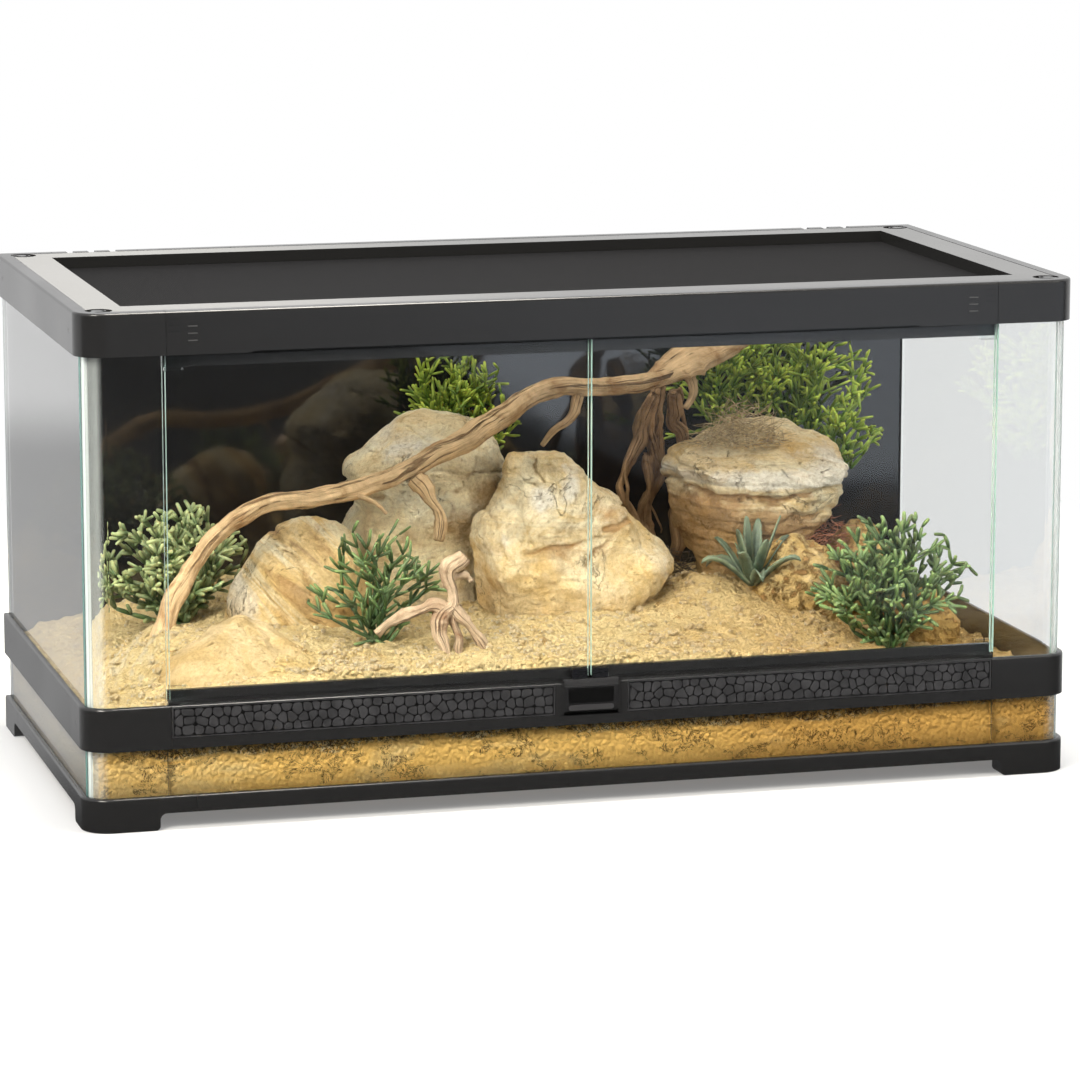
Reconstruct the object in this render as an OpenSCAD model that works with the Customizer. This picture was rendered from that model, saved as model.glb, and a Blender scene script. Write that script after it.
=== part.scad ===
// Front-opening glass terrarium: a glass tank held by three moulded frames, with two
// swinging doors, a sprung latch, a lift-out screen lid and a desert interior.
// X runs across the front, Y to the back, Z up. The origin is the middle of the footprint.

/* [Overall] */
// Width across the moulded frames
tank_w = 914; // [860:2:1200]
// Depth across the moulded frames
tank_d = 450; // [430:2:600]
// Height from the feet to the top rim
tank_h = 456; // [440:2:600]

/* [Moulded frames] */
// Wall of the mouldings
wall = 2.5; // [2:0.1:3]
// Radius of the front corners
corner_r = 25; // [25:1:30]
// Radius of the rear corners
rear_corner_r = 4; // [3:0.5:6]
// Rounding of the frames' upper outer edge
edge_r = 2.4; // [1:0.1:2.4]
// Length of the corner mouldings along the front and the sides
corner_leg = 77; // [60:1:90]
// Length of the rear corner mouldings along the back
rear_leg = 52; // [45:1:60]
// Open seam between two mouldings
seam = 0.4; // [0.3:0.05:0.8]
// Height of the feet under the base rails
foot_h = 15; // [10:1:20]
// Length of a foot along the front
foot_l = 66; // [50:1:80]
// Length of a foot along the side
foot_side_l = 55; // [45:1:70]
// Length of the base corner mouldings along the front
base_leg = 99; // [85:1:110]
// Height of the base rails
base_rail_h = 15; // [13:1:18]
// Underside of the middle frame
mid_z = 72; // [60:1:80]
// Height of the middle frame
mid_h = 38.5; // [36:0.5:45]
// Height of the top frame
top_h = 38; // [34:0.5:45]
// Width of the flange that carries the bottom pane and of the lid's ledge
flange_w = 24; // [22:1:24]

/* [Glass] */
// Thickness of the panes
glass_t = 5; // [4:0.5:5]
// Distance from a frame's outer face to the glass
glass_inset = 5; // [5:0.1:5.6]
// Thickness of the bottom pane
bottom_t = 6; // [5:0.5:8]
// Gap that the silicone fills between panes
glue_gap = 0.4; // [0.3:0.1:0.8]

/* [Doors] */
// Gap between the doors where they meet
door_gap = 3; // [2:0.5:5]
// Distance from the tank's end to a door's outer edge
door_edge = 77; // [76:0.5:90]
// Gap between the middle frame and a door's glass
door_lift = 3.5; // [3.2:0.1:4.5]
// Gap between a door's glass and the top frame
door_drop = 1; // [0.8:0.1:2]
// Radius of a door's hinge pin
hinge_pin_r = 1.5; // [1.2:0.1:1.8]
// Radius of a hinge clip's knuckle
knuckle_r = 4.4; // [4.2:0.1:4.6]
// Height of a hinge clip
clip_h = 14; // [10:1:20]
// Length of a hinge clip along the glass
clip_l = 15; // [12:1:20]
// Height of the door sill above the middle frame
sill_h = 11.5; // [9:0.5:16]
// Depth of the door header below the top frame
header_h = 12; // [9:0.5:16]

/* [Latch] */
// Width of the latch lever
latch_w = 50; // [40:1:56]
// Bottom edge of the lever above the middle frame's underside
latch_z = 9.8; // [9:0.2:12]
// Height of the lever's face
latch_face_h = 25.2; // [24:0.2:26]
// Radius of the latch's hinge pin
latch_pin_r = 1; // [0.8:0.1:1.2]
// Width of the finger ridge on the lever
ridge_w = 42; // [30:1:44]
// Height of the finger ridge
ridge_h = 5; // [4:0.5:6]
// Wire of the return spring
spring_wire = 0.8; // [0.6:0.1:1]

/* [Pebble panels] */
// Plain width between the two pebble panels
bay_w = 67; // [64:1:90]
// Depth of the recess that holds a panel
panel_recess = 2.4; // [2:0.1:2.6]
// Mean spacing of the pebbles
pebble_pitch = 9; // [8:0.5:14]
// Groove between pebbles
pebble_groove = 0.9; // [0.6:0.1:1.4]
// Raised border round a panel
panel_border = 1.2; // [1:0.1:2]

/* [Screen lid] */
// Width of the top frame's rim
rim_w = 12.5; // [12.5:0.5:14]
// Gap between the rim and the lid
lid_gap = 0.5; // [0.4:0.1:0.8]
// Width of the lid's frame
lid_w = 33; // [30:1:40]
// Depth of the mesh below the rim
mesh_depth = 11; // [10.5:0.5:12]
// Thickness of the mesh
mesh_t = 0.6; // [0.5:0.1:1]
// Distance of the turning locks from the tank's sides
lock_inset = 23; // [23:0.5:24]
// Radius of a lock's knob
lock_r = 6.5; // [5.5:0.5:7]
// Reach of a lock's tongue
lock_reach = 11.5; // [11:0.1:11.6]

/* [Cable notches] */
// Width of a cable notch
notch_w = 7; // [5:0.5:8]
// Depth of a cable notch below the rim
notch_depth = 10; // [8:0.5:12]
// Distance of the first notch from the rear corner moulding
notch_margin = 18; // [18:1:26]
// Spacing of the notches
notch_pitch = 20.5; // [18:0.5:24]

/* [Interior] */
// Sand level at the front
sand_front = 124; // [118:1:126]
// Sand level at the back
sand_rear = 142; // [136:1:150]
// Thickness of the driftwood branch
branch_t = 25; // [18:1:28]

/* [Hidden] */
$fn = 48;

half_w = tank_w / 2;
half_d = tank_d / 2;
fit = 0.3;                  // clearance between parts that are laid together
running = 0.05;             // radial clearance of a pin in its bore
past = 1;                   // how far a cut runs past the face that it opens
plastic = "#2b2b2d";
pebble_grey = "#3c3c3e";
lid_grey = "#4a4a4a";
glass_tint = [0.78, 0.88, 0.86, 0.35];
steel = "#c8c8c6";

// Heights of the three frames
base_top = foot_h + base_rail_h;
mid_top = mid_z + mid_h;
top_z = tank_h - top_h;
lip = 2.2;                  // height of the lips that reach in to the glass
lip_reach = glass_inset - fit;

// The channel that holds the tops of the panes
glass_inner = glass_inset + glass_t;
skirt = glass_inner + 0.4;
skirt_z = top_z + 12;
ledge_top = tank_h - 16;
glass_top = tank_h - notch_depth;
glass_foot = foot_h + wall + fit;
bottom_top = glass_foot + bottom_t;

// ---------------------------------------------------------------- outlines

function arc(centre, r, from, to, steps = 5) =
    [for (i = [0:steps]) let (a = from + (to - from) * i / steps) centre + r * [cos(a), sin(a)]];

// Section of an upper edge: the outer face, rounded over into the top
function rounded_top(z) = arc([edge_r, z - edge_r], edge_r, 180, 90);

function base_section() = concat(
    [[0, foot_h]], rounded_top(base_top),
    [[lip_reach, base_top], [lip_reach, base_top - lip], [wall, base_top - lip],
     [wall, foot_h + wall], [flange_w, foot_h + wall], [flange_w, foot_h]]);

function mid_section() = concat(
    [[0, mid_z]], rounded_top(mid_top),
    [[lip_reach, mid_top], [lip_reach, mid_top - lip], [wall, mid_top - lip],
     [wall, mid_z + lip], [lip_reach, mid_z + lip], [lip_reach, mid_z]]);

function top_section() = concat(
    [[0, top_z]], rounded_top(tank_h),
    [[rim_w, tank_h], [rim_w, ledge_top], [flange_w, ledge_top], [flange_w, ledge_top - wall],
     [rim_w, ledge_top - wall], [rim_w, skirt_z], [skirt, skirt_z], [skirt, tank_h - wall],
     [wall, tank_h - wall], [wall, top_z + lip], [lip_reach, top_z + lip], [lip_reach, top_z]]);

// Box section of the middle frame's front rail, which the doors stand over
front_wall = panel_recess + 2;
box_back = rim_w - fit;
low_glass_top = mid_z + 7;

function front_box() = concat(
    [[0, mid_z]], rounded_top(mid_top),
    [[box_back, mid_top], [box_back, mid_z + lip], [box_back - 1.9, mid_z + lip],
     [box_back - 1.9, mid_top - wall], [front_wall, mid_top - wall],
     [front_wall, mid_z + lip], [lip_reach, mid_z + lip], [lip_reach, mid_z]]);

// ---------------------------------------------------------------- sweeps

// A section, drawn as distance in from the face and height, run along the front
module front_run(x0, x1) {
    translate([x0, -half_d, 0]) rotate([90, 0, 90]) linear_extrude(x1 - x0) children();
}

// The same along the left side
module side_run(y0, y1) {
    translate([-half_w, y1, 0]) rotate([90, 0, 0]) linear_extrude(y1 - y0) children();
}

// The same round the front left corner
module corner_turn() {
    translate([corner_r - half_w, corner_r - half_d, 0]) rotate([0, 0, 180])
        rotate_extrude(angle = 90, $fn = 96) translate([corner_r, 0]) mirror([1, 0]) children();
}

module both_sides() {
    children();
    mirror([1, 0, 0]) children();
}

// Front left corner moulding: a bent run with a straight leg each way
module front_corner(section, leg) {
    corner_turn() polygon(section);
    front_run(corner_r - half_w, leg - half_w) polygon(section);
    side_run(corner_r - half_d, corner_leg - half_d) polygon(section);
}

// Rear left corner moulding: two runs mitred together, with the outer edge rounded
module rear_corner(section) {
    reach = corner_leg + rear_leg;
    difference() {
        union() {
            intersection() {
                mirror([0, 1, 0]) front_run(-half_w, rear_leg - half_w) polygon(section);
                translate([-half_w, half_d, 0]) linear_extrude(tank_h + past)
                    polygon([[0, 0], [reach, 0], [reach, -reach]]);
            }
            intersection() {
                side_run(half_d - corner_leg, half_d) polygon(section);
                translate([-half_w, half_d, 0]) linear_extrude(tank_h + past)
                    polygon([[0, 0], [reach, -reach], [0, -reach]]);
            }
        }
        rear_edge_cutter();
    }
}

// What rounding takes off the upright outer edge of the rear left corner
module rear_edge_cutter() {
    difference() {
        translate([-half_w - past, half_d - rear_corner_r, -past])
            cube([rear_corner_r + past, rear_corner_r + past, tank_h + 2 * past]);
        translate([rear_corner_r - half_w, half_d - rear_corner_r, -2 * past])
            cylinder(r = rear_corner_r, h = tank_h + 4 * past);
    }
}

module side_rails(section) {
    both_sides() side_run(corner_leg - half_d + seam, half_d - corner_leg - seam)
        polygon(section);
}

module rear_rail(section) {
    mirror([0, 1, 0]) front_run(rear_leg - half_w + seam, half_w - rear_leg - seam)
        polygon(section);
}

// ---------------------------------------------------------------- base frame

foot_fillet = 6;
foot_round = 4;

// Side view of a foot: blended into the rail above, rounded at the floor
module foot_outline(length) {
    polygon(concat(
        [[0, 0]],
        arc([length - foot_round, foot_round], foot_round, -90, 0),
        arc([length + foot_fillet, foot_h - foot_fillet], foot_fillet, 180, 90),
        [[0, foot_h]]));
}

module foot(front_length, side_length) {
    translate([-half_w, -half_d + flange_w, 0]) rotate([90, 0, 0])
        linear_extrude(flange_w) foot_outline(front_length);
    translate([-half_w, -half_d, 0]) rotate([90, 0, 90])
        linear_extrude(flange_w) foot_outline(side_length);
}

// What rounding takes off the upright outer edge of the front left foot
module front_edge_cutter() {
    difference() {
        translate([-half_w - past, -half_d - past, -past])
            cube([corner_r + past, corner_r + past, foot_h + past]);
        translate([corner_r - half_w, corner_r - half_d, -2 * past])
            cylinder(r = corner_r, h = foot_h + 4 * past, $fn = 96);
    }
}

module base_corners_front() {
    color(plastic) both_sides() {
        front_corner(base_section(), base_leg);
        difference() {
            foot(foot_l, foot_side_l);
            front_edge_cutter();
        }
    }
}

module base_corners_rear() {
    color(plastic) both_sides() {
        rear_corner(base_section());
        difference() {
            mirror([0, 1, 0]) foot(rear_leg - foot_fillet - foot_round, foot_side_l);
            rear_edge_cutter();
        }
    }
}

module base_rail_front() {
    color(plastic) front_run(base_leg - half_w + seam, half_w - base_leg - seam)
        polygon(base_section());
}

module base_rail_rear() { color(plastic) rear_rail(base_section()); }

module base_rails_side() { color(plastic) side_rails(base_section()); }

// ---------------------------------------------------------------- middle frame

plug_r = 1.7;
plug_place = 42;            // distance of a plug from the tank's front or rear face

// A bore through the left face at each corner, at one height
module plug_bores(z, front) {
    y = front ? plug_place - half_d : half_d - plug_place;
    translate([-half_w - past, y, z]) rotate([0, 90, 0])
        cylinder(r = plug_r + running, h = wall + 2 * past);
}

mid_plug_z = mid_z + mid_h / 2;
top_plug_z = top_z + top_h / 2;

module mid_corners_front() {
    color(plastic) both_sides() difference() {
        front_corner(mid_section(), corner_leg);
        plug_bores(mid_plug_z, true);
    }
}

module mid_corners_rear() {
    color(plastic) both_sides() difference() {
        rear_corner(mid_section());
        plug_bores(mid_plug_z, false);
    }
}

module mid_rail_rear() { color(plastic) rear_rail(mid_section()); }

module mid_rails_side() { color(plastic) side_rails(mid_section()); }

// Pebble panel: its recess in the front rail
panel_w = half_w - corner_leg - seam - bay_w / 2;
panel_z = mid_z + 9.5;
panel_h = mid_h - 10.5;

// Latch opening in the front rail
latch_bottom = mid_z + latch_z;
latch_open_w = latch_w + 6;
latch_open_z = latch_bottom - 1.6;
latch_back = 9.8;           // depth of the latch housing in from the face

module mid_rail_front() {
    end = half_w - corner_leg - seam;
    color(plastic) difference() {
        front_run(-end, end) polygon(front_box());
        both_sides() translate([-end - past, -half_d - past, panel_z])
            cube([panel_w + past, past + panel_recess, panel_h]);
        translate([-latch_open_w / 2, -half_d - past, latch_open_z])
            cube([latch_open_w, past + latch_back + fit, tank_h]);
    }
}

// ---------------------------------------------------------------- pebble panels

pebble_rise = 1.2;
panel_skin = 1;

// Keeps the part of a convex outline that lies behind a line
function clipped(outline, point, away) = [
    for (i = [0:len(outline) - 1])
        let (a = outline[i], b = outline[(i + 1) % len(outline)],
             da = (a - point) * away, db = (b - point) * away)
        each concat(da <= 0 ? [a] : [],
                    da * db < 0 ? [a + (b - a) * da / (da - db)] : [])
];

// The ground nearer to one seed than to any other, less half a groove all round
function pebble_cell(outline, seeds, me, k = 0) =
    k == len(seeds) ? outline :
    let (apart = seeds[k] - seeds[me], gap = norm(apart))
    pebble_cell(
        k == me || gap > 4 * pebble_pitch ? outline :
        clipped(outline, (seeds[k] + seeds[me]) / 2 - apart / gap * pebble_groove / 2, apart),
        seeds, me, k + 1);

// Cuts an outline's corners, so that a pebble is round-shouldered
function corner_cut(outline, share = 0.22) = [
    for (i = [0:len(outline) - 1])
        let (a = outline[i], b = outline[(i + 1) % len(outline)])
        each [a + (b - a) * share, b - (b - a) * share]
];

function shoelace(outline) = [
    for (i = [0:len(outline) - 1])
        let (a = outline[i], b = outline[(i + 1) % len(outline)]) a.x * b.y - a.y * b.x
] * [for (i = outline) 0.5];

// Pebble panel, drawn flat: x along the rail, y up, pebbles facing +Z
module pebble_panel(seed) {
    w = panel_w - 2 * fit;
    h = panel_h - 2 * fit;
    inner_w = w - 2 * panel_border;
    inner_h = h - 2 * panel_border;
    columns = round(inner_w / pebble_pitch);
    rows = max(2, round(inner_h / pebble_pitch));
    jitter = rands(-0.34, 0.34, 2 * columns * rows, seed);
    seeds = [for (c = [0:columns - 1], r = [0:rows - 1])
        let (k = c * rows + r)
        [(c + 0.5 + (r % 2) * 0.4 - 0.2 + jitter[2 * k]) * inner_w / columns,
         (r + 0.5 + 0.8 * jitter[2 * k + 1]) * inner_h / rows]];
    edge = [[pebble_groove, pebble_groove], [inner_w - pebble_groove, pebble_groove],
            [inner_w - pebble_groove, inner_h - pebble_groove],
            [pebble_groove, inner_h - pebble_groove]];
    difference() {
        cube([w, h, panel_skin + pebble_rise]);
        translate([panel_border, panel_border, panel_skin])
            cube([inner_w, inner_h, pebble_rise + past]);
    }
    translate([panel_border, panel_border, panel_skin]) linear_extrude(pebble_rise)
        for (k = [0:len(seeds) - 1]) {
            cell = pebble_cell(edge, seeds, k);
            if (len(cell) > 2 && abs(shoelace(cell)) > 6) polygon(corner_cut(cell));
        }
}

module panel_in_place(seed) {
    translate([-half_w + corner_leg + seam + fit, -half_d + panel_recess - 0.05, panel_z + fit])
        rotate([90, 0, 0]) pebble_panel(seed);
}

module pebble_panel_left() { color(pebble_grey) panel_in_place(11); }

module pebble_panel_right() { color(pebble_grey) mirror([1, 0, 0]) panel_in_place(29); }

// ---------------------------------------------------------------- top frame

lock_pocket_r = lock_reach + fit;
lock_pocket_depth = 2.2;

// The lock's pocket, which runs from the lid over into the rim
module lock_pocket() {
    translate([lock_inset - half_w, lock_inset - half_d, tank_h - lock_pocket_depth])
        cylinder(r = lock_pocket_r, h = lock_pocket_depth + past);
}

module top_corners_front() {
    color(plastic) both_sides() difference() {
        front_corner(top_section(), corner_leg);
        plug_bores(top_plug_z, true);
        lock_pocket();
    }
}

module top_corners_rear() {
    color(plastic) both_sides() difference() {
        rear_corner(top_section());
        plug_bores(top_plug_z, false);
        mirror([0, 1, 0]) lock_pocket();
    }
}

// Front rail: the lower edge is relieved over the doors, with grip ridges at each end
relief = 1.5;
relief_end = 75;
ridge_l = 10;
ridge_heights = [6.4, 12, 17.3];

module top_rail_front() {
    end = half_w - corner_leg - seam;
    color(plastic) difference() {
        front_run(-end, end) polygon(top_section());
        translate([relief_end - end, -half_d - past, top_z - past])
            cube([2 * (end - relief_end), lip_reach + 2 * past, past + relief]);
        for (down = ridge_heights) both_sides()
            translate([1.5 - end, -half_d - past, tank_h - down - 0.4])
                cube([ridge_l, past + 0.5, 0.8]);
    }
}

notch_x = rear_leg + notch_margin;
gate_travel = notch_pitch / 2;
gate_t = lip_reach - wall - 0.2;
nub_l = 6;
nub_h = 6;
nub_z = top_z + 14;
gate_cover = 1.5;           // how far a closed gate laps past each notch
gate_first = notch_x - notch_w / 2 - gate_travel - gate_cover;
gate_l = 2 * notch_pitch + notch_w + gate_travel + 2 * gate_cover;

function notch_places() = [for (k = [0:2]) notch_x + k * notch_pitch];

port_end = gate_first + gate_l + gate_travel + 8;   // from the tank's side

// Rear run of the top frame, notched for cables and slotted for the gates' nubs
module notched_run() {
    difference() {
        rear_rail(top_section());
        both_sides() {
            for (x = notch_places())
                translate([x - notch_w / 2 - half_w, half_d - rim_w - past, tank_h - notch_depth])
                    cube([notch_w, rim_w + 2 * past, notch_depth + past]);
            translate([gate_first + gate_l / 2 - nub_l / 2 - fit - half_w, half_d - wall - past,
                       nub_z - fit])
                cube([nub_l + gate_travel + 2 * fit, wall + 2 * past, nub_h + 2 * fit]);
        }
    }
}

// The space from a distance off one side of the tank to another distance
module stretch(from, to) {
    translate([from - half_w, 0, 0]) cube([to - from, tank_d, tank_h + past]);
}

module top_rail_rear() {
    color(plastic) intersection() {
        notched_run();
        stretch(port_end + seam, tank_w - port_end - seam);
    }
}

// The notched end pieces of the rear run
module cable_ports() {
    color(plastic) intersection() {
        notched_run();
        both_sides() stretch(0, port_end);
    }
}

module top_rails_side() { color(plastic) side_rails(top_section()); }

// Left cable gate: a slotted slide between the rail's skin and the rear pane
module cable_gate() {
    low = top_z + lip + fit;
    color(plastic) difference() {
        union() {
            translate([gate_first - half_w, half_d - wall - fit / 2 - gate_t, low])
                cube([gate_l, gate_t, tank_h - wall - fit - low]);
            translate([gate_first + gate_l / 2 - nub_l / 2 - half_w,
                       half_d - wall - fit / 2 - gate_t / 2, nub_z])
                cube([nub_l, wall + gate_t / 2 - fit, nub_h]);
        }
        for (x = notch_places())
            translate([x - notch_w / 2 - fit / 2 - half_w, half_d - rim_w,
                       tank_h - notch_depth - fit / 2])
                cube([notch_w + fit, rim_w, notch_depth + past]);
    }
}

module cable_gate_left() { cable_gate(); }

module cable_gate_right() { mirror([1, 0, 0]) cable_gate(); }

module corner_plugs() {
    color(steel) both_sides()
        for (z = [mid_plug_z, top_plug_z], y = [plug_place - half_d, half_d - plug_place])
            translate([0.2 - half_w, y, z]) rotate([0, 90, 0])
                cylinder(r = plug_r, h = glass_inset - 0.4);
}

// ---------------------------------------------------------------- glass

module bottom_glass() {
    inset = glass_inner + glue_gap;
    r = corner_r - inset;
    color(glass_tint) translate([0, 0, glass_foot]) linear_extrude(bottom_t) union() {
        translate([inset - half_w, inset + r - half_d])
            square([tank_w - 2 * inset, tank_d - 2 * inset - r]);
        translate([inset + r - half_w, inset - half_d])
            square([tank_w - 2 * inset - 2 * r, r + past]);
        for (side = [-1, 1])
            translate([side * (half_w - inset - r), inset + r - half_d]) circle(r = r);
    }
}

// Section of an upright pane
module pane(z0, z1) {
    translate([glass_inset, z0]) square([glass_t, z1 - z0]);
}

strip_end = door_edge - 2.8;

// Left pane, bent round the front corner and returned along the front to the door
module left_pane() {
    color(glass_tint) {
        corner_turn() pane(glass_foot, glass_top);
        side_run(corner_r - half_d, half_d - glass_inset) pane(glass_foot, glass_top);
        front_run(corner_r - half_w, strip_end - half_w) pane(glass_foot, glass_top);
    }
}

module left_glass() { left_pane(); }

module right_glass() { mirror([1, 0, 0]) left_pane(); }

module rear_glass() {
    end = half_w - glass_inner - glue_gap;
    color(glass_tint) mirror([0, 1, 0]) front_run(-end, end) pane(glass_foot, glass_top);
}

module low_front_glass() {
    end = half_w - strip_end - glue_gap;
    color(glass_tint) front_run(-end, end) pane(glass_foot, low_glass_top);
}

panel_t = 2;

module background_panel() {
    end = half_w - glass_inner - 2.5;
    color("#141416") translate([-end, half_d - glass_inner - fit - panel_t, bottom_top + fit])
        cube([2 * end, panel_t, skirt_z - 2 * fit - bottom_top]);
}

bead_r = 2.2;

// Silicone in the joints: upright beads at the rear corners, and at the low front pane
module silicone_beads() {
    color("#1a1a1a") both_sides() {
        translate([glass_inner + 0.05 - half_w, half_d - glass_inner - 0.05, bottom_top])
            linear_extrude(skirt_z - fit - bottom_top)
                polygon([[0, 0], [bead_r, 0], [0, -bead_r]]);
        translate([strip_end + 0.05 - half_w, -half_d + glass_inset + 0.1, glass_foot])
            cube([glue_gap - 0.1, glass_t - 0.2, low_glass_top - glass_foot]);
    }
}

// ---------------------------------------------------------------- door surround

bar_front = rim_w + fit;    // face of the sill and header bars, clear of the swinging edge
bar_t = 5;
hinge_x = half_w - door_edge - 3;
hinge_in = glass_inset + glass_t / 2;
door_z = mid_top + door_lift;
door_top = top_z - door_drop;
clip_floor = 0.5;
ear_t = door_lift - clip_floor - 2 * fit;
ear_w = 10;
stop_end = hinge_x - 18;
stop_gap = 22;

// Left bearing ear: a bored tongue that reaches forward under or over a door's clip
module bearing_ear(z, thick) {
    translate([0, 0, z]) difference() {
        translate([-hinge_x - 4.8, -half_d + 3.2, 0])
            cube([ear_w, bar_front + past - 3.2, thick]);
        translate([-hinge_x, -half_d + hinge_in, -past])
            cylinder(r = hinge_pin_r + running, h = thick + 2 * past);
    }
}

sill_top = mid_top + sill_h;
sill_foot = mid_z + 5;

module door_sill() {
    end = half_w - strip_end - 0.6;
    color(plastic) {
        front_run(-end, end) translate([bar_front, sill_foot])
            square([bar_t, sill_top - sill_foot]);
        both_sides() {
            bearing_ear(mid_top + fit, ear_t);
            front_run(-stop_end, -stop_gap) translate([glass_inner + fit, door_z + 1])
                square([bar_front - glass_inner - fit + past, sill_top - door_z - 2]);
        }
    }
}

header_z = top_z - header_h;
header_ear_z = top_z + lip + fit;

module door_header() {
    end = half_w - strip_end - 0.6;
    color(plastic) {
        front_run(-end, end) translate([bar_front, header_z])
            square([bar_t, ledge_top - wall - fit - header_z]);
        both_sides() bearing_ear(header_ear_z, 3);
        front_run(-stop_end, stop_end) translate([glass_inner + fit, header_z + 1])
            square([bar_front - glass_inner - fit + past, header_h - 3]);
    }
}

// ---------------------------------------------------------------- doors

// Left door's pane, from its hinged edge to the middle
module door_pane() {
    color(glass_tint) front_run(door_edge - half_w, -door_gap / 2) pane(door_z, door_top);
}

module door_glass_left() { door_pane(); }

module door_glass_right() { mirror([1, 0, 0]) door_pane(); }

clip_wall = 1.5;

// Left hinge clip: a grooved shoe with a round knuckle, gripping a corner of the pane
module hinge_clip(z0, z1) {
    difference() {
        union() {
            translate([-hinge_x, -half_d + hinge_in, z0]) cylinder(r = knuckle_r, h = z1 - z0);
            translate([-hinge_x, -half_d + glass_inset - clip_wall, z0])
                cube([clip_l - 3, glass_t + 2 * clip_wall, z1 - z0]);
        }
        translate([door_edge - half_w - fit, -half_d + glass_inset - running, door_z - fit / 2])
            cube([clip_l + 2 * past, glass_t + 2 * running, door_top - door_z + fit]);
    }
}

module door_clips() {
    clip_low = door_z - clip_floor;
    clip_high = door_top + clip_floor;
    color(lid_grey) {
        hinge_clip(clip_low, clip_low + clip_h);
        hinge_clip(clip_high - clip_h, clip_high);
        translate([-hinge_x, -half_d + hinge_in, mid_top + 2 * fit])
            cylinder(r = hinge_pin_r, h = clip_low - mid_top - fit);
        translate([-hinge_x, -half_d + hinge_in, clip_high - fit])
            cylinder(r = hinge_pin_r, h = header_ear_z + 3 + fit - clip_high);
    }
}

module door_clips_left() { door_clips(); }

module door_clips_right() { mirror([1, 0, 0]) door_clips(); }

catch_w = 14;
catch_h = 8;
catch_t = 0.7;
catch_play = 0.1;

// Left steel catch, folded over the pane's lower edge beside the gap
module door_catch() {
    reach = glass_t + 2 * (catch_play + catch_t);
    color(steel) front_run(-door_gap / 2 - 1 - catch_w, -door_gap / 2 - 1)
        translate([glass_inset - catch_play - catch_t, door_z - catch_play - catch_t])
            difference() {
                square([reach, catch_h + catch_t]);
                translate([catch_t, catch_t]) square([reach - 2 * catch_t, catch_h + past]);
            }
}

module door_catch_left() { door_catch(); }

module door_catch_right() { mirror([1, 0, 0]) door_catch(); }

// ---------------------------------------------------------------- latch

pivot_in = 4.4;             // latch hinge axis, in from the face
lever_front = 1;
foot_r = pivot_in - lever_front;
pivot_z = latch_bottom + foot_r;
lever_t = 2.6;
hook_top = door_z - catch_play - catch_t - 0.4;
spring_bay = 14;

// Side view of the lever, from its rolled foot up to the hook under the doors
module lever_outline() {
    translate([pivot_in, pivot_z]) circle(r = foot_r);
    polygon([[lever_front, pivot_z], [lever_front, latch_bottom + latch_face_h],
             [lever_front + 0.8, latch_bottom + latch_face_h + 0.6],
             [lever_front + 0.8, hook_top - 2.6], [lever_front - 0.6, hook_top - 2.2],
             [lever_front - 0.6, hook_top], [lever_front + 4.6, hook_top],
             [lever_front + 4.6, hook_top - 2], [lever_front + lever_t, hook_top - 4],
             [lever_front + lever_t, pivot_z]]);
}

module latch_lever() {
    recess = 0.6;
    color(pebble_grey) difference() {
        union() {
            front_run(-latch_w / 2, latch_w / 2) lever_outline();
            // Finger ridge with round ends
            for (side = [-1, 1])
                translate([side * (ridge_w - ridge_h) / 2, -half_d + lever_front + past / 2,
                           latch_bottom + 5.5])
                    rotate([90, 0, 0]) cylinder(r = ridge_h / 2, h = 1.3);
            translate([-(ridge_w - ridge_h) / 2, -half_d + lever_front - 0.8, latch_bottom + 3])
                cube([ridge_w - ridge_h, 1.3, ridge_h]);
        }
        // Bare recessed field above the ridge
        translate([-ridge_w / 2, -half_d + lever_front - past, latch_bottom + 9.5])
            cube([ridge_w, past + recess, 13.5]);
        translate([-latch_w / 2 - past, -half_d + pivot_in, pivot_z]) rotate([0, 90, 0])
            cylinder(r = latch_pin_r + running, h = latch_w + 2 * past);
        // Room for the spring behind the face
        translate([-spring_bay / 2, -half_d + lever_front + 1.1, latch_bottom - past])
            cube([spring_bay, 8, 9]);
    }
}

module latch_pin() {
    length = latch_w + 4;
    color(steel) translate([-length / 2, -half_d + pivot_in, pivot_z]) rotate([0, 90, 0])
        cylinder(r = latch_pin_r, h = length);
}

// Housing: two cheeks, a back and a floor, with the pin's bores in the cheeks
module latch_housing() {
    outer_w = latch_open_w - 2 * fit;
    inner_w = latch_w + 2 * fit;
    z0 = latch_open_z + fit;
    color(plastic) difference() {
        translate([-outer_w / 2, -half_d + 0.6, z0])
            cube([outer_w, latch_back - 0.6, mid_top - z0 - 0.5]);
        translate([-inner_w / 2, -half_d - past, z0 - past])
            cube([inner_w, past + latch_back - 1.4, mid_top]);
        translate([-outer_w / 2 - past, -half_d + pivot_in, pivot_z]) rotate([0, 90, 0])
            cylinder(r = latch_pin_r + running, h = outer_w + 2 * past);
    }
}

// ---------------------------------------------------------------- swept tubes

// Unit vector along a route at one of its points
function heading(route, i) =
    let (n = len(route) - 1, v = route[min(i + 1, n)] - route[max(i - 1, 0)]) v / norm(v);

// Carries a side direction along a route without twist
function carried(route, i = 0, sides = []) =
    i == len(route) ? sides :
    let (t = heading(route, i),
         seed = i == 0 ? (abs(t.z) < 0.9 ? [0, 0, 1] : [1, 0, 0]) : sides[i - 1],
         v = seed - t * (seed * t))
    carried(route, i + 1, concat(sides, [v / norm(v)]));

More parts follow.
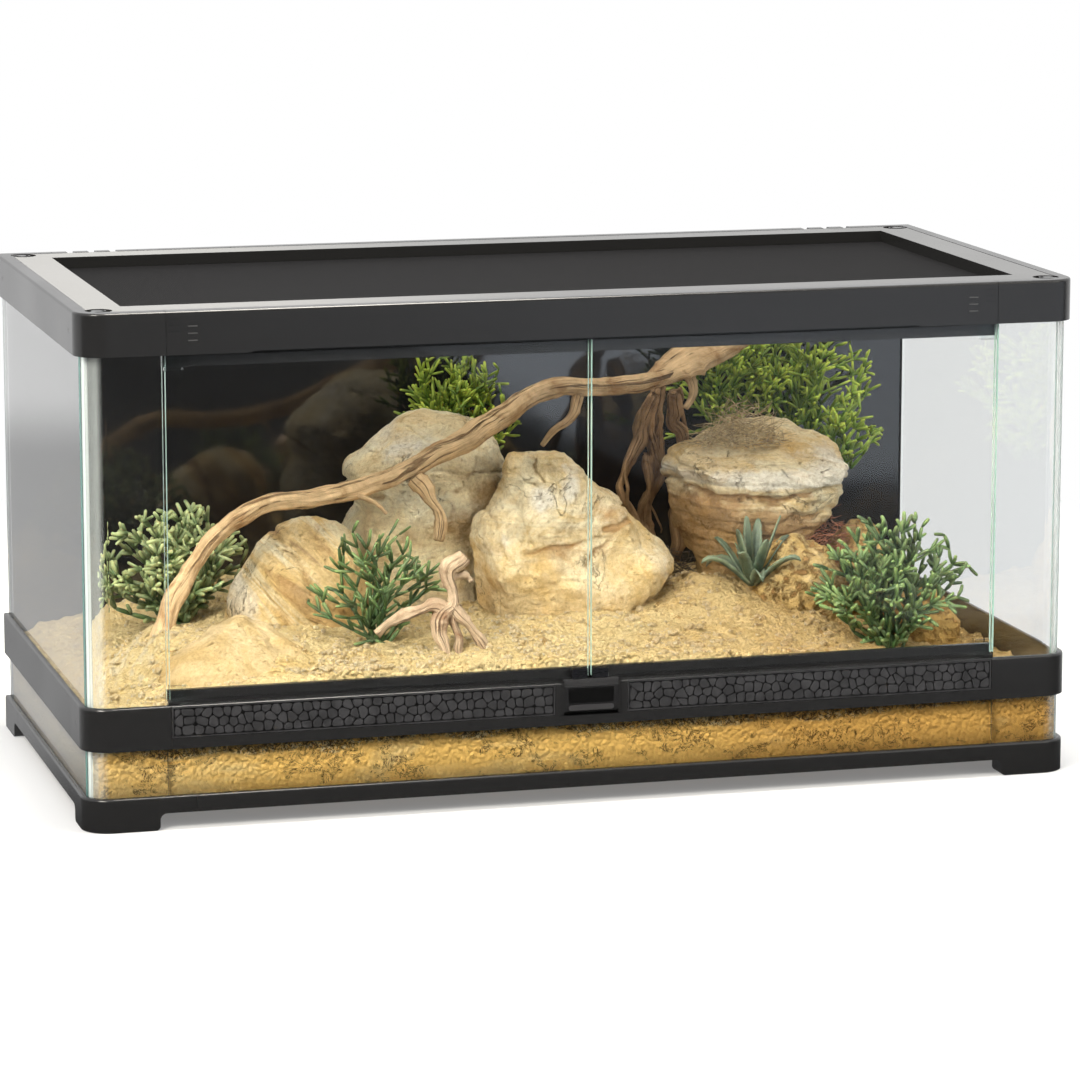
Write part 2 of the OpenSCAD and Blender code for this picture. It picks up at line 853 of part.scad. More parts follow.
// A closed tube along a route, with its own radius at each point
module tube(route, radii, sides = 8) {
    n = len(route);
    side = carried(route);
    points = [for (i = [0:n - 1])
        let (t = heading(route, i), u = side[i], w = cross(t, u))
        for (k = [0:sides - 1])
            let (a = 360 * k / sides) route[i] + radii[i] * (cos(a) * u + sin(a) * w)];
    faces = concat(
        [for (i = [0:n - 2], k = [0:sides - 1]) let (m = (k + 1) % sides)
            each [[i * sides + k, (i + 1) * sides + k, (i + 1) * sides + m],
                  [i * sides + k, (i + 1) * sides + m, i * sides + m]]],
        [[for (k = [0:sides - 1]) k]],
        [[for (k = [sides - 1:-1:0]) (n - 1) * sides + k]]);
    polyhedron(points, faces);
}

// A point on the smooth curve through a list of points
function smooth_point(p, t) =
    let (n = len(p) - 1, i = min(floor(t), n - 1), f = t - i,
         a = p[max(i - 1, 0)], b = p[i], c = p[i + 1], d = p[min(i + 2, n)])
    0.5 * (2 * b + f * (c - a) + f * f * (2 * a - 5 * b + 4 * c - d)
           + f * f * f * (3 * b - a - 3 * c + d));

function smooth_route(p, per) =
    [for (k = [0:(len(p) - 1) * per]) smooth_point(p, k / per)];

spring_turns = 5;
spring_steps = 12;

module latch_spring() {
    r = latch_pin_r + spring_wire / 2 + 0.1;
    pitch = spring_wire + 0.5;
    span = spring_turns * pitch;
    coil = [for (k = [0:spring_turns * spring_steps])
        let (a = 360 * k / spring_steps)
        [-span / 2 + pitch * k / spring_steps, -half_d + pivot_in + r * sin(a),
         pivot_z + r * cos(a)]];
    last = coil[len(coil) - 1];
    leg = [last + [0.3, 1.5, 0.4], [last.x + 0.3, -half_d + latch_back - 2, pivot_z + r + 1]];
    route = concat(coil, leg);
    color(steel) tube(route, [for (p = route) spring_wire / 2], 6);
}

// ---------------------------------------------------------------- screen lid

lid_out = rim_w + lid_gap;
lid_in = lid_out + lid_w;
lid_top = tank_h - 0.2;
lid_foot = ledge_top + fit;
mesh_z = tank_h - mesh_depth - mesh_t;
lid_corner_r = corner_r - lid_out;
spline_in = lid_in - 3.9;
spline_w = 1.8;

// Plan of the lid's outer edge, moved in by a distance: round at the front, square behind
module lid_plan(inward) {
    o = lid_out + inward;
    r = max(lid_corner_r - inward, 0.5);
    translate([o - half_w, o + r - half_d]) square([tank_w - 2 * o, tank_d - 2 * o - r]);
    translate([o + r - half_w, o - half_d]) square([tank_w - 2 * (o + r), r + past]);
    for (side = [-1, 1]) translate([side * (half_w - o - r), o + r - half_d]) circle(r = r);
}

module ring_plan(outer, inner) {
    difference() {
        lid_plan(outer);
        translate([lid_out + inner - half_w, lid_out + inner - half_d])
            square([tank_w - 2 * (lid_out + inner), tank_d - 2 * (lid_out + inner)]);
    }
}

// Places something at one of the lid's corners, given at the front left
module lid_corner(right, rear) {
    mirror([right ? 1 : 0, 0, 0]) mirror([0, rear ? 1 : 0, 0])
        translate([lock_inset - half_w, lock_inset - half_d, 0]) children();
}

module each_lid_corner() {
    for (right = [false, true], rear = [false, true]) lid_corner(right, rear) children();
}

// Plan of the spline, or with a play all round, of its groove
module spline_plan(play) {
    a = spline_in - play;
    b = spline_in + spline_w + play;
    difference() {
        square([tank_w - 2 * a, tank_d - 2 * a], center = true);
        square([tank_w - 2 * b, tank_d - 2 * b], center = true);
    }
}

stem_r = 2.5;
boss_r = 8;
boss_z = ledge_top + 2.8;

module lid_frame() {
    inner_wall = lid_w - 6;
    color(lid_grey) difference() {
        union() {
            translate([0, 0, lid_top - wall]) linear_extrude(wall) ring_plan(0, lid_w);
            translate([0, 0, lid_foot]) linear_extrude(lid_top - lid_foot - past)
                ring_plan(0, wall);
            translate([0, 0, mesh_z + mesh_t + 0.1])
                linear_extrude(lid_top - mesh_z - mesh_t - past) ring_plan(inner_wall, lid_w);
            each_lid_corner() translate([0, 0, boss_z])
                cylinder(r = boss_r, h = lid_top - boss_z - past);
            each_lid_corner() translate([0, 0, tank_h - lock_pocket_depth - wall])
                cylinder(r = lock_inset - lid_out - wall / 4, h = wall - 0.2);
        }
        translate([0, 0, mesh_z - past]) linear_extrude(past + mesh_t + 3)
            spline_plan(0.1);
        each_lid_corner() {
            translate([0, 0, tank_h - lock_pocket_depth])
                cylinder(r = lock_pocket_r, h = lock_pocket_depth + past);
            translate([0, 0, boss_z - past]) cylinder(r = stem_r + running, h = tank_h);
        }
    }
}

module lid_mesh() {
    o = spline_in + spline_w + 0.15;
    color("#1c1c1c") translate([o - half_w, o - half_d, mesh_z])
        cube([tank_w - 2 * o, tank_d - 2 * o, mesh_t]);
}

// Soft cord that holds the mesh's edge in the frame's groove
module mesh_spline() {
    color("#202020") translate([0, 0, mesh_z - 0.4]) linear_extrude(mesh_t + 2.8)
        spline_plan(0);
}

// Turning lock with its tongue at an angle: knob, tongue, stem and retaining collar
module lid_lock(angle) {
    floor_z = tank_h - lock_pocket_depth + fit;
    knob_t = lid_top - floor_z;
    stem_foot = boss_z - fit;
    color(lid_grey) {
        difference() {
            union() {
                translate([0, 0, floor_z]) cylinder(r = lock_r, h = knob_t);
                rotate([0, 0, angle]) translate([0, -2.5, floor_z])
                    cube([lock_reach - 2.5, 5, knob_t]);
                rotate([0, 0, angle]) translate([lock_reach - 2.5, 0, floor_z])
                    cylinder(r = 2.5, h = knob_t);
            }
            // Crescent finger hollow on the side away from the tongue
            rotate([0, 0, angle]) translate([0, 0, lid_top - 0.9]) difference() {
                cylinder(r = lock_r - 1.2, h = past + 0.9);
                translate([2.6, 0, -past]) cylinder(r = lock_r - 1.2, h = 4 * past);
            }
        }
        translate([0, 0, stem_foot]) cylinder(r = stem_r, h = floor_z + 0.1 - stem_foot);
        translate([0, 0, stem_foot - 1.6]) cylinder(r = stem_r + 0.9, h = 1.6);
    }
}

// Tongue angles at the front left and rear left: into the round corner, and into the side rim
front_tongue = 225;
rear_tongue = 180;

module lid_lock_front_left() { lid_corner(false, false) lid_lock(front_tongue); }

module lid_lock_front_right() { lid_corner(true, false) lid_lock(front_tongue); }

module lid_lock_rear_left() { lid_corner(false, true) lid_lock(rear_tongue); }

module lid_lock_rear_right() { lid_corner(true, true) lid_lock(rear_tongue); }

// ---------------------------------------------------------------- interior

sand_gap = 0.5;
sand_floor = bottom_top + 0.1;
sand_split = mid_z + lip - fit;     // where the bed steps back behind the middle frame
sand_out = glass_inner + sand_gap;
sand_back = half_d - glass_inner - fit - panel_t - sand_gap;
sand_face = bar_front + bar_t + fit - half_d;

// A place in the tank, given as shares of its half width and half depth
function spot(across, deep) = [across * half_w, deep * half_d];

// A size in the tank, given as shares of its width, depth and height
function sized(wide, deep, high) = [wide * tank_w, deep * tank_d, high * tank_h];

// Mounds of sand: place, height over the slope, and reach
sand_mounds = [
    [spot(-0.88, 0.1), 0.037 * tank_h, 0.142 * tank_w],
    [spot(-0.66, -0.5), 0.026 * tank_h, 0.12 * tank_w],
    [spot(0.05, -0.3), 0.02 * tank_h, 0.164 * tank_w],
    [spot(0.55, 0.25), 0.018 * tank_h, 0.164 * tank_w]];
slope_steps = 8;

function slope_height(y) =
    sand_front + (sand_rear - sand_front) * pow(max(0, (y + half_d) / tank_d), 1.4);

// A mound is the cap of a large ball
function ball_r(m) = (m[2] * m[2] + m[1] * m[1]) / (2 * m[1]);

function ball_z(m) = slope_height(m[0].y) + m[1] - ball_r(m);

function mound_height(m, x, y) =
    let (d = norm([x, y] - m[0]), r = ball_r(m))
    d < r ? ball_z(m) + sqrt(r * r - d * d) : 0;

function sand_height(x, y) =
    max(slope_height(y), max([for (m = sand_mounds) mound_height(m, x, y)]));

// Plan of the sand: round in the front corners, like the glass
module sand_plan() {
    r = corner_r - sand_out;
    end = half_w - sand_out;
    translate([-end, sand_out + r - half_d])
        square([2 * end, sand_back + half_d - sand_out - r]);
    translate([r - end, sand_out - half_d]) square([2 * (end - r), r + past]);
    for (side = [-1, 1]) translate([side * (end - r), sand_out + r - half_d]) circle(r = r);
}

module sand_bed() {
    deep = sand_back - sand_face;
    color("#d8b878") {
        translate([0, 0, sand_floor]) linear_extrude(sand_split - sand_floor) sand_plan();
        intersection() {
            translate([0, 0, sand_split - past]) linear_extrude(tank_h) sand_plan();
            union() {
                translate([-half_w, 0, 0]) rotate([90, 0, 90]) linear_extrude(tank_w)
                    polygon(concat(
                        [[sand_back + past, sand_split - past],
                         [sand_face, sand_split - past]],
                        [for (k = [0:slope_steps]) let (y = sand_face + deep * k / slope_steps)
                            [y, slope_height(y)]],
                        [[sand_back + past, sand_rear]]));
                intersection() {
                    translate([-half_w, sand_face, sand_split]) cube([tank_w, tank_d, tank_h]);
                    union() for (m = sand_mounds)
                        translate([m[0].x, m[0].y, ball_z(m)])
                            sphere(r = ball_r(m), $fn = 120);
                }
            }
        }
    }
}

// Roundness of a stone towards one direction, worked from a few waves
function weathered(a, e, seed, rough) =
    1 + rough * (0.5 * sin(2 * a + 70 * seed) * cos(e) + 0.35 * sin(3 * a - 50 * seed + 2 * e)
                 + 0.3 * sin(5 * a + 90 * seed) * cos(2 * e) + 0.25 * sin(6 * e + 33 * seed)
                 + 0.2 * sin(9 * a + 4 * e + 17 * seed));

// A stone or a bush: a lumpy ball in a box, flat underneath, leaning over by a share of its size
module lump(size, seed, rough = 0.16, lean = [0, 0], foot = 0.75, rings = 9, spokes = 18) {
    points = concat(
        [for (i = [1:rings - 1], k = [0:spokes - 1])
            let (e = -90 + 180 * i / rings, a = 360 * k / spokes,
                 grow = weathered(a, e, seed, rough),
                 z = max(0, 0.5 + 0.62 * sin(e) * grow),
                 r = 0.5 * pow(cos(e), 0.7) * grow * (e < 0 ? foot + (1 - foot) * (1 + e / 90) : 1))
            [size.x * (r * cos(a) + lean.x * z), size.y * (r * sin(a) + lean.y * z),
             size.z * min(z, 1)]],
        [[0, 0, 0], [lean.x * size.x, lean.y * size.y, size.z]]);
    last = (rings - 1) * spokes;
    faces = concat(
        [for (i = [0:rings - 3], k = [0:spokes - 1])
            let (m = (k + 1) % spokes, a = i * spokes, b = a + spokes)
            each [[a + k, b + k, b + m], [a + k, b + m, a + m]]],
        [for (k = [0:spokes - 1]) [k, (k + 1) % spokes, last]],
        [for (k = [0:spokes - 1]) let (a = (rings - 2) * spokes)
            [a + k, last + 1, a + (k + 1) % spokes]]);
    polyhedron(points, faces);
}

sink = 0.026 * tank_h;      // how deep a stone is bedded in the sand

module bedded(place, turn = 0) {
    translate([place.x, place.y, sand_height(place.x, place.y) - sink])
        rotate([0, 0, turn]) children();
}

stone = "#d9c08c";

module striped_rock() {
    color(stone) bedded(spot(-0.49, -0.02))
        lump(sized(0.14, 0.233, 0.228), 3, 0.12, [0.11, 0.057]);
}

module dome_rock() {
    color(stone) bedded(spot(-0.19, 0.43))
        lump(sized(0.164, 0.249, 0.386), 5, 0.1, [0.027, 0], 0.9);
}

module sloping_rock() {
    color(stone) bedded(spot(0.145, -0.08))
        lump(sized(0.219, 0.249, 0.342), 8, 0.12, [-0.18, 0.036], 1.1);
}

ledge_place = spot(0.565, 0.3);
ledge_size = sized(0.204, 0.249, 0.325);

module ledge_rock() {
    color(stone) bedded(ledge_place) lump(ledge_size, 12, 0.1, [0, 0.018], 0.55);
}

module small_rocks() {
    color("#c9a25a") {
        bedded(spot(0.615, -0.18)) lump(sized(0.096, 0.147, 0.154), 17, 0.22);
        bedded(spot(0.8, 0.02)) lump(sized(0.109, 0.178, 0.167), 21, 0.16);
    }
}

// A route with its places given as shares of the tank, and its heights above the sand's front
// as shares of the tank's height
function rooted(route) = [for (p = route)
    [p[0] * half_w, p[1] * half_d, sand_front + p[2] * tank_h]];

branch_route = [
    [-0.828, -0.42, 0.018], [-0.79, -0.37, 0.114], [-0.727, -0.31, 0.204], [-0.672, -0.27, 0.246],
    [-0.49, -0.18, 0.287], [-0.274, -0.09, 0.307], [-0.162, -0.02, 0.346], [0, 0.09, 0.421],
    [0.096, 0.16, 0.45], [0.306, 0.27, 0.447], [0.422, 0.31, 0.471], [0.538, 0.36, 0.511]];

// Thickness along the branch: slim in the middle, swollen at the joints, flared at the end
function branch_radius(t) =
    branch_t / 2 * (0.78 + 0.12 * sin(900 * t + 40) + 0.08 * sin(2300 * t)
                    + 0.75 * pow(t, 7));

module driftwood_branch() {
    route = smooth_route(rooted(branch_route), 3);
    color("#b08a5e") {
        tube(route, [for (k = [0:len(route) - 1]) branch_radius(k / (len(route) - 1))], 9);
        tube(smooth_route(rooted([[0.17, 0.19, 0.445], [0.14, 0.12, 0.39], [0.12, 0.1, 0.36]]), 2),
             branch_t * [0.24, 0.22, 0.2, 0.16, 0.1], 7);
    }
}

// A root: slim at both ends, knotted in between
function root_radii(count, r) =
    [for (k = [0:count - 1]) r * (0.7 + 0.3 * sin(180 * k / (count - 1)) + 0.12 * sin(200 * k))];

module root(route, stout, sides = 7) {
    path = smooth_route(rooted(route), 3);
    tube(path, root_radii(len(path), stout * branch_t), sides);
}

module hanging_roots() {
    color("#8a6238") {
        root([[0.31, 0.42, 0.408], [0.315, 0.44, 0.285], [0.29, 0.44, 0.175], [0.32, 0.46, 0.018]],
             0.36);
        root([[0.385, 0.45, 0.399], [0.37, 0.47, 0.263], [0.385, 0.49, 0.154], [0.38, 0.5, 0.018]],
             0.32);
        root([[0.24, 0.4, 0.373], [0.25, 0.4, 0.241], [0.225, 0.38, 0.132], [0.24, 0.4, 0.018]],
             0.24);
    }
}

module front_root() {
    color("#9a7040") {
        root([[-0.21, -0.6, 0.189], [-0.24, -0.64, 0.101], [-0.25, -0.7, 0.044],
              [-0.255, -0.72, -0.009]], 0.36);
        root([[-0.222, -0.62, 0.136], [-0.18, -0.64, 0.075], [-0.14, -0.67, -0.009]], 0.24);
        root([[-0.245, -0.65, 0.088], [-0.31, -0.66, 0.079], [-0.375, -0.66, 0.061]], 0.24);
    }
}

module bush(size, seed) {
    lump(size, seed, 0.32, [0, 0], 0.6, 8, 20);
}

module rear_plants() {
    color("#7f9a64") {
        bedded(spot(-0.67, 0.43)) bush(sized(0.164, 0.147, 0.246), 2);
        bedded(spot(-0.02, 0.8)) bush(sized(0.123, 0.102, 0.496), 6);
        bedded(spot(0.65, 0.75)) bush(sized(0.197, 0.129, 0.496), 9);
    }
}

module front_plants() {
    color("#4f8a3c") {
        bedded(spot(-0.38, -0.5)) bush(sized(0.129, 0.133, 0.259), 4);
        bedded(spot(0.715, -0.58)) bush(sized(0.16, 0.147, 0.228), 7);
    }
}

agave_leaves = 9;
agave_leaf = 48;            // length of a leaf

module agave_plant() {
    place = spot(0.42, -0.02);
    color("#6f9a86") translate([place.x, place.y, sand_height(place.x, place.y) - sink / 2])
        for (k = [0:agave_leaves - 1])
            rotate([0, 0, 360 * k / agave_leaves + 12]) translate([0.19 * agave_leaf, 0, 0])
                rotate([0, k % 2 == 0 ? 16 : 32, 0])
                    cylinder(r1 = 0.0625 * agave_leaf, r2 = 0.0125 * agave_leaf, h = agave_leaf);
}

module dry_moss() {
    color("#b09a5c") bedded(ledge_place) translate([-0.043 * ledge_size.x, 0, ledge_size.z + fit])
        lump(sized(0.092, 0.111, 0.048), 31, 0.3, [0, 0], 0.9, 6, 14);
}

base_corners_front();
base_corners_rear();
base_rail_front();
base_rail_rear();
base_rails_side();
mid_corners_front();
mid_corners_rear();
mid_rail_front();
mid_rail_rear();
mid_rails_side();
top_corners_front();
top_corners_rear();
top_rail_front();
top_rail_rear();
top_rails_side();
corner_plugs();
bottom_glass();
left_glass();
right_glass();
rear_glass();
low_front_glass();
background_panel();
silicone_beads();
door_sill();
door_header();
door_glass_left();
door_glass_right();
door_clips_left();
door_clips_right();
door_catch_left();
door_catch_right();
pebble_panel_left();
pebble_panel_right();
latch_housing();
latch_lever();
latch_pin();
latch_spring();
lid_frame();
lid_mesh();
mesh_spline();
lid_lock_front_left();
lid_lock_front_right();
lid_lock_rear_left();
lid_lock_rear_right();
cable_ports();
cable_gate_left();
cable_gate_right();
sand_bed();
striped_rock();
dome_rock();
sloping_rock();
ledge_rock();
small_rocks();
driftwood_branch();
hanging_roots();
front_root();
rear_plants();
front_plants();
agave_plant();
dry_moss();
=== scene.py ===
"""Dresses the desert terrarium: moulded frames, float glass, screen lid and interior."""

import logging
import math
import random
from dataclasses import dataclass, field
from enum import Enum
from typing import Callable, Sequence

import bmesh
import bpy
from mathutils import Matrix, Vector, noise


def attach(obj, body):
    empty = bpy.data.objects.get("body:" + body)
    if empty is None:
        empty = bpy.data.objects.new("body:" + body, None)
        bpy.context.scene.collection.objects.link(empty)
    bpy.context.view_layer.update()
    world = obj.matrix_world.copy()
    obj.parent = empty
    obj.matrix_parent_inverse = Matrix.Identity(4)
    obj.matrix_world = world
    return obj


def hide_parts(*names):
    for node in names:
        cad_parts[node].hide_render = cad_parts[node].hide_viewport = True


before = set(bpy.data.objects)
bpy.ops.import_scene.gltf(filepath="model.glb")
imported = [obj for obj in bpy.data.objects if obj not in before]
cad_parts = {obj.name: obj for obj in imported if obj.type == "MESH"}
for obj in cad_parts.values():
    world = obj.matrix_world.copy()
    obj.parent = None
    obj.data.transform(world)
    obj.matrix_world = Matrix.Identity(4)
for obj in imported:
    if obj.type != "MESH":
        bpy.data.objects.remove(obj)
LOG = logging.getLogger("terrarium")
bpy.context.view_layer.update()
GOLDEN_ANGLE = 2.39996
MM = 1000  # in a metre
NOISE_SEED = 1795488648

Colour = tuple[float, float, float]
Point = tuple[float, float, float]
Socket = bpy.types.NodeSocket | None


# ---------------------------------------------------------------- shading helper


class Shade:
    """Adds nodes to one new material or sky and joins them."""

    def __init__(self, name: str, library: bpy.types.bpy_prop_collection | None = None) -> None:
        """Starts an empty node tree.

        Args:
            name: Name of the new owner of the nodes.
            library: Where the new owner is kept; the materials by default.
        """
        if library is None:
            library = bpy.data.materials
        self.owner = library.new(name)
        self.owner.use_nodes = True
        self.tree = self.owner.node_tree
        self.tree.nodes.clear()
        spots = self.add("ShaderNodeTexCoord").outputs
        self.place = spots["Object"]
        self.facing = spots["Normal"]

    def add(self, kind: str, inputs: dict[object, object] | None = None,
            **settings: object) -> bpy.types.Node:
        """Adds a node.

        Args:
            kind: Blender's type name of the node.
            inputs: What to feed to its sockets, by their names or numbers.
            settings: Properties of the node to set.

        Returns:
            The new node.
        """
        node = self.tree.nodes.new(kind)
        for key, value in settings.items():
            setattr(node, key, value)
        for key, value in (inputs or {}).items():
            self.feed(node.inputs[key], value)
        return node

    def feed(self, socket: bpy.types.NodeSocket, value: object) -> None:
        """Links a socket to a source, or sets its own value; None leaves it alone."""
        if isinstance(value, bpy.types.NodeSocket):
            self.tree.links.new(value, socket)
        elif isinstance(value, tuple) and socket.type == "RGBA":
            socket.default_value = (*value, 1.0)
        elif value is not None:
            socket.default_value = value

    def stretched(self, scale: Point, turn: Point = (0.0, 0.0, 0.0),
                  source: Socket = None) -> Socket:
        """Turns and then scales the coordinates of a pattern.

        Args:
            scale: Factor on each axis.
            turn: Euler angles in radians.
            source: Coordinates to start from; the object's own by default.

        Returns:
            The changed coordinates.
        """
        return self.add("ShaderNodeMapping",
                        {"Vector": source or self.place, "Rotation": turn,
                         "Scale": tuple(1.0 / part for part in scale)},
                        vector_type="TEXTURE").outputs["Vector"]

    def noise(self, scale: float, detail: float = 4.0, rough: float = 0.55,
              warp: float = 0.0, at: Socket = None) -> Socket:
        """Adds a cloudy noise.

        Args:
            scale: Cycles per metre.
            detail: Octaves.
            rough: Strength of the finer octaves.
            warp: Distortion.
            at: Coordinates to read.

        Returns:
            The noise, from 0 to 1.
        """
        return self.add("ShaderNodeTexNoise",
                        {"Vector": at or self.place, "Scale": scale, "Detail": detail,
                         "Roughness": rough, "Distortion": warp}).outputs["Fac"]

    def cells(self, scale: float, at: Socket = None) -> Socket:
        """Adds a cell pattern, with so many cells per metre: the distance to the nearest one."""
        return self.add("ShaderNodeTexVoronoi",
                        {"Vector": at or self.place, "Scale": scale}).outputs["Distance"]

    def ramp(self, factor: Socket, stops: Sequence[tuple[float, Colour]]) -> Socket:
        """Turns a factor into a colour.

        Args:
            factor: The factor.
            stops: Places and colours, in order.

        Returns:
            The colour.
        """
        node = self.add("ShaderNodeValToRGB", {"Fac": factor})
        marks = node.color_ramp.elements
        while len(marks) < len(stops):
            marks.new(0.5)
        for mark, (place, colour) in zip(marks, stops):
            mark.position = place
            mark.color = (*colour, 1.0)
        return node.outputs["Color"]

    def span(self, value: Socket, low: float, high: float, start: float = 0.0,
             end: float = 1.0) -> Socket:
        """Maps a value softly from low..high to start..end, clamped at both ends."""
        return self.add("ShaderNodeMapRange",
                        {"Value": value, "From Min": low, "From Max": high, "To Min": start,
                         "To Max": end}, interpolation_type="SMOOTHSTEP").outputs["Result"]

    def calc(self, operation: str, first: object, second: object = 0.0) -> Socket:
        """Adds a math node with one or two inputs."""
        return self.add("ShaderNodeMath", {0: first, 1: second},
                        operation=operation).outputs["Value"]

    def times(self, first: Socket, *others: object) -> Socket:
        """Multiplies one value by all the others."""
        for other in others:
            first = self.calc("MULTIPLY", first, other)
        return first

    def size(self, value: Socket) -> Socket:
        """Drops a value's sign."""
        return self.calc("ABSOLUTE", value)

    def blend(self, factor: object, first: object, second: object, way: str = "MIX") -> Socket:
        """Mixes two colours.

        Args:
            factor: Share of the second.
            first: First colour.
            second: Second colour.
            way: Blender's name of the mix.

        Returns:
            The mixed colour.
        """
        return self.add("ShaderNodeMix", {0: factor, 6: first, 7: second}, data_type="RGBA",
                        blend_type=way).outputs[2]

    def axis(self, name: str, source: Socket = None) -> Socket:
        """One component of the coordinates, by its letter."""
        return self.add("ShaderNodeSeparateXYZ", {0: source or self.place}).outputs[name]

    def bump(self, height: Socket, depth: float, over: Socket = None) -> Socket:
        """Makes a relief.

        Args:
            height: Height from 0 to 1.
            depth: Depth of the relief in metres.
            over: Relief that this one lies on.

        Returns:
            The normal.
        """
        return self.add("ShaderNodeBump",
                        {"Height": height, "Distance": depth, "Normal": over}).outputs["Normal"]

    def surface(self, colour: object, rough: object, normal: Socket = None,
                **sockets: object) -> Socket:
        """Adds the main shader.

        Args:
            colour: Base colour.
            rough: Roughness.
            normal: Relief.
            sockets: Other inputs, with spaces written as underscores.

        Returns:
            The shader.
        """
        others = {key.replace("_", " "): value for key, value in sockets.items()}
        return self.add("ShaderNodeBsdfPrincipled",
                        {"Base Color": colour, "Roughness": rough, "Normal": normal,
                         **others}).outputs["BSDF"]

    def mixed(self, share: object, first: Socket, second: Socket) -> Socket:
        """Mixes two shaders by the share of the second."""
        return self.add("ShaderNodeMixShader", {0: share, 1: first, 2: second}).outputs[0]

    def finish(self, shader: Socket, output: str = "ShaderNodeOutputMaterial") -> bpy.types.ID:
        """Joins a shader to the output and returns the material."""
        self.add(output, {"Surface": shader})
        return self.owner

    def lets_lamps_through(self, shader: Socket, clear: Colour, share: float = 1.0) -> Socket:
        """Lets light from lamps pass a shader straight.

        Args:
            shader: What every other ray meets.
            clear: Tint of the light that passes.
            share: Part of the surface that lets it pass.

        Returns:
            The mixed shader.
        """
        shadow = self.add("ShaderNodeLightPath").outputs["Is Shadow Ray"]
        passing = self.add("ShaderNodeBsdfTransparent", {"Color": clear}).outputs[0]
        return self.mixed(self.times(shadow, share), shader, passing)


# ---------------------------------------------------------------- finishes


@dataclass(frozen=True)
class MouldedPlastic:
    """Injection-moulded plastic with a fine satin grain."""

    name: str = "moulded_plastic"
    colour: Colour = (0.013, 0.013, 0.0135)
    rough: float = 0.24
    grain: float = 1400.0
    depth: float = 0.00002
    bend: float = 1.5

    def build(self) -> bpy.types.Material:
        """Returns the material."""
        s = Shade(self.name)
        return s.finish(self.skin(s, self.colour))

    def skin(self, s: Shade, colour: object) -> Socket:
        """Returns the shader in a given colour."""
        fine = s.noise(self.grain, 2.0, 0.6)
        rough = s.span(s.noise(9.0, 3.0, 0.5), 0.25, 0.75, self.rough - 0.02, self.rough + 0.02)
        return s.surface(colour, rough, s.bump(fine, self.depth), IOR=self.bend)


@dataclass(frozen=True)
class RibbedPlastic(MouldedPlastic):
    """The same plastic with a painted highlight on three small ribs beside each joint."""

    name: str = "ribbed_plastic"
    rib_place: float = 0.3565
    rib_reach: float = 0.0042
    rib_foot: float = 0.4300
    rib_pitch: float = 0.0062
    rib_share: float = 0.16
    # colour of the painted highlight on the ribs
    rib_highlight: Colour = (0.05, 0.05, 0.05)
    ribs: int = 3

    def build(self) -> bpy.types.Material:
        """Returns the material."""
        s = Shade(self.name)
        away = s.size(s.calc("SUBTRACT", s.size(s.axis("X")), self.rib_place))
        near = s.calc("LESS_THAN", away, self.rib_reach)
        step = s.calc("DIVIDE", s.calc("SUBTRACT", s.axis("Z"), self.rib_foot), self.rib_pitch)
        line = s.calc("LESS_THAN", s.calc("FRACT", step), self.rib_share)
        mask = s.times(near, line, s.calc("GREATER_THAN", step, 0.0),
                       s.calc("LESS_THAN", step, float(self.ribs)))
        # painted highlight: the three rib lines are lighter than the plastic
        return s.finish(self.skin(s, s.blend(mask, self.colour, self.rib_highlight)))


@dataclass(frozen=True)
class LatchPlastic(MouldedPlastic):
    """Latch plastic: painted shade darkens the recessed field, and a painted highlight lightens
    the finger ridge and the lip.
    """

    name: str = "latch_plastic"
    colour: Colour = (0.012, 0.012, 0.013)
    rough: float = 0.22
    # colour of the painted highlight on the finger ridge and the lip
    worn: Colour = (0.032, 0.032, 0.034)
    # colour of the painted shade in the recessed field
    field: Colour = (0.003, 0.003, 0.003)
    ridge_y: float = -0.2243
    field_y: float = -0.2238
    field_top: float = 0.1049
    lip_foot: float = 0.1062

    def build(self) -> bpy.types.Material:
        """Returns the material."""
        s = Shade(self.name)
        lip = s.span(s.axis("Z"), self.lip_foot, self.lip_foot + 0.0004)
        ridge = s.calc("LESS_THAN", s.axis("Y"), self.ridge_y)
        # painted shade: the recessed field is darkened
        deep = s.times(s.calc("GREATER_THAN", s.axis("Y"), self.field_y),
                       s.calc("LESS_THAN", s.axis("Z"), self.field_top))
        # painted highlight: the lip and the finger ridge are lightened
        colour = s.blend(s.calc("MAXIMUM", lip, ridge), self.colour, self.worn)
        return s.finish(self.skin(s, s.blend(deep, colour, self.field)))


@dataclass(frozen=True)
class LidPlastic(MouldedPlastic):
    """Lid plastic: its upper faces are greyed by a painted sheen, which is paler towards the left.
    """

    name: str = "lid_plastic"
    colour: Colour = (0.014, 0.014, 0.014)
    rough: float = 0.16
    bend: float = 1.22
    # pale grey of the painted sheen on the upper faces, at the left and at the right
    painted_sheen_left: Colour = (0.145, 0.145, 0.141)
    painted_sheen_right: Colour = (0.035, 0.035, 0.034)

    def build(self) -> bpy.types.Material:
        """Returns the material."""
        s = Shade(self.name)
        upright = s.axis("Z", s.facing)
        # painted sheen: upper faces are blended to pale grey, paler to the left, as reflections
        # would light them
        painted_sheen = s.blend(s.span(s.axis("X"), 0.05, -0.38), self.painted_sheen_right, self.painted_sheen_left)
        return s.finish(self.skin(s, s.blend(s.span(upright, 0.5, 0.9), self.colour, painted_sheen)))


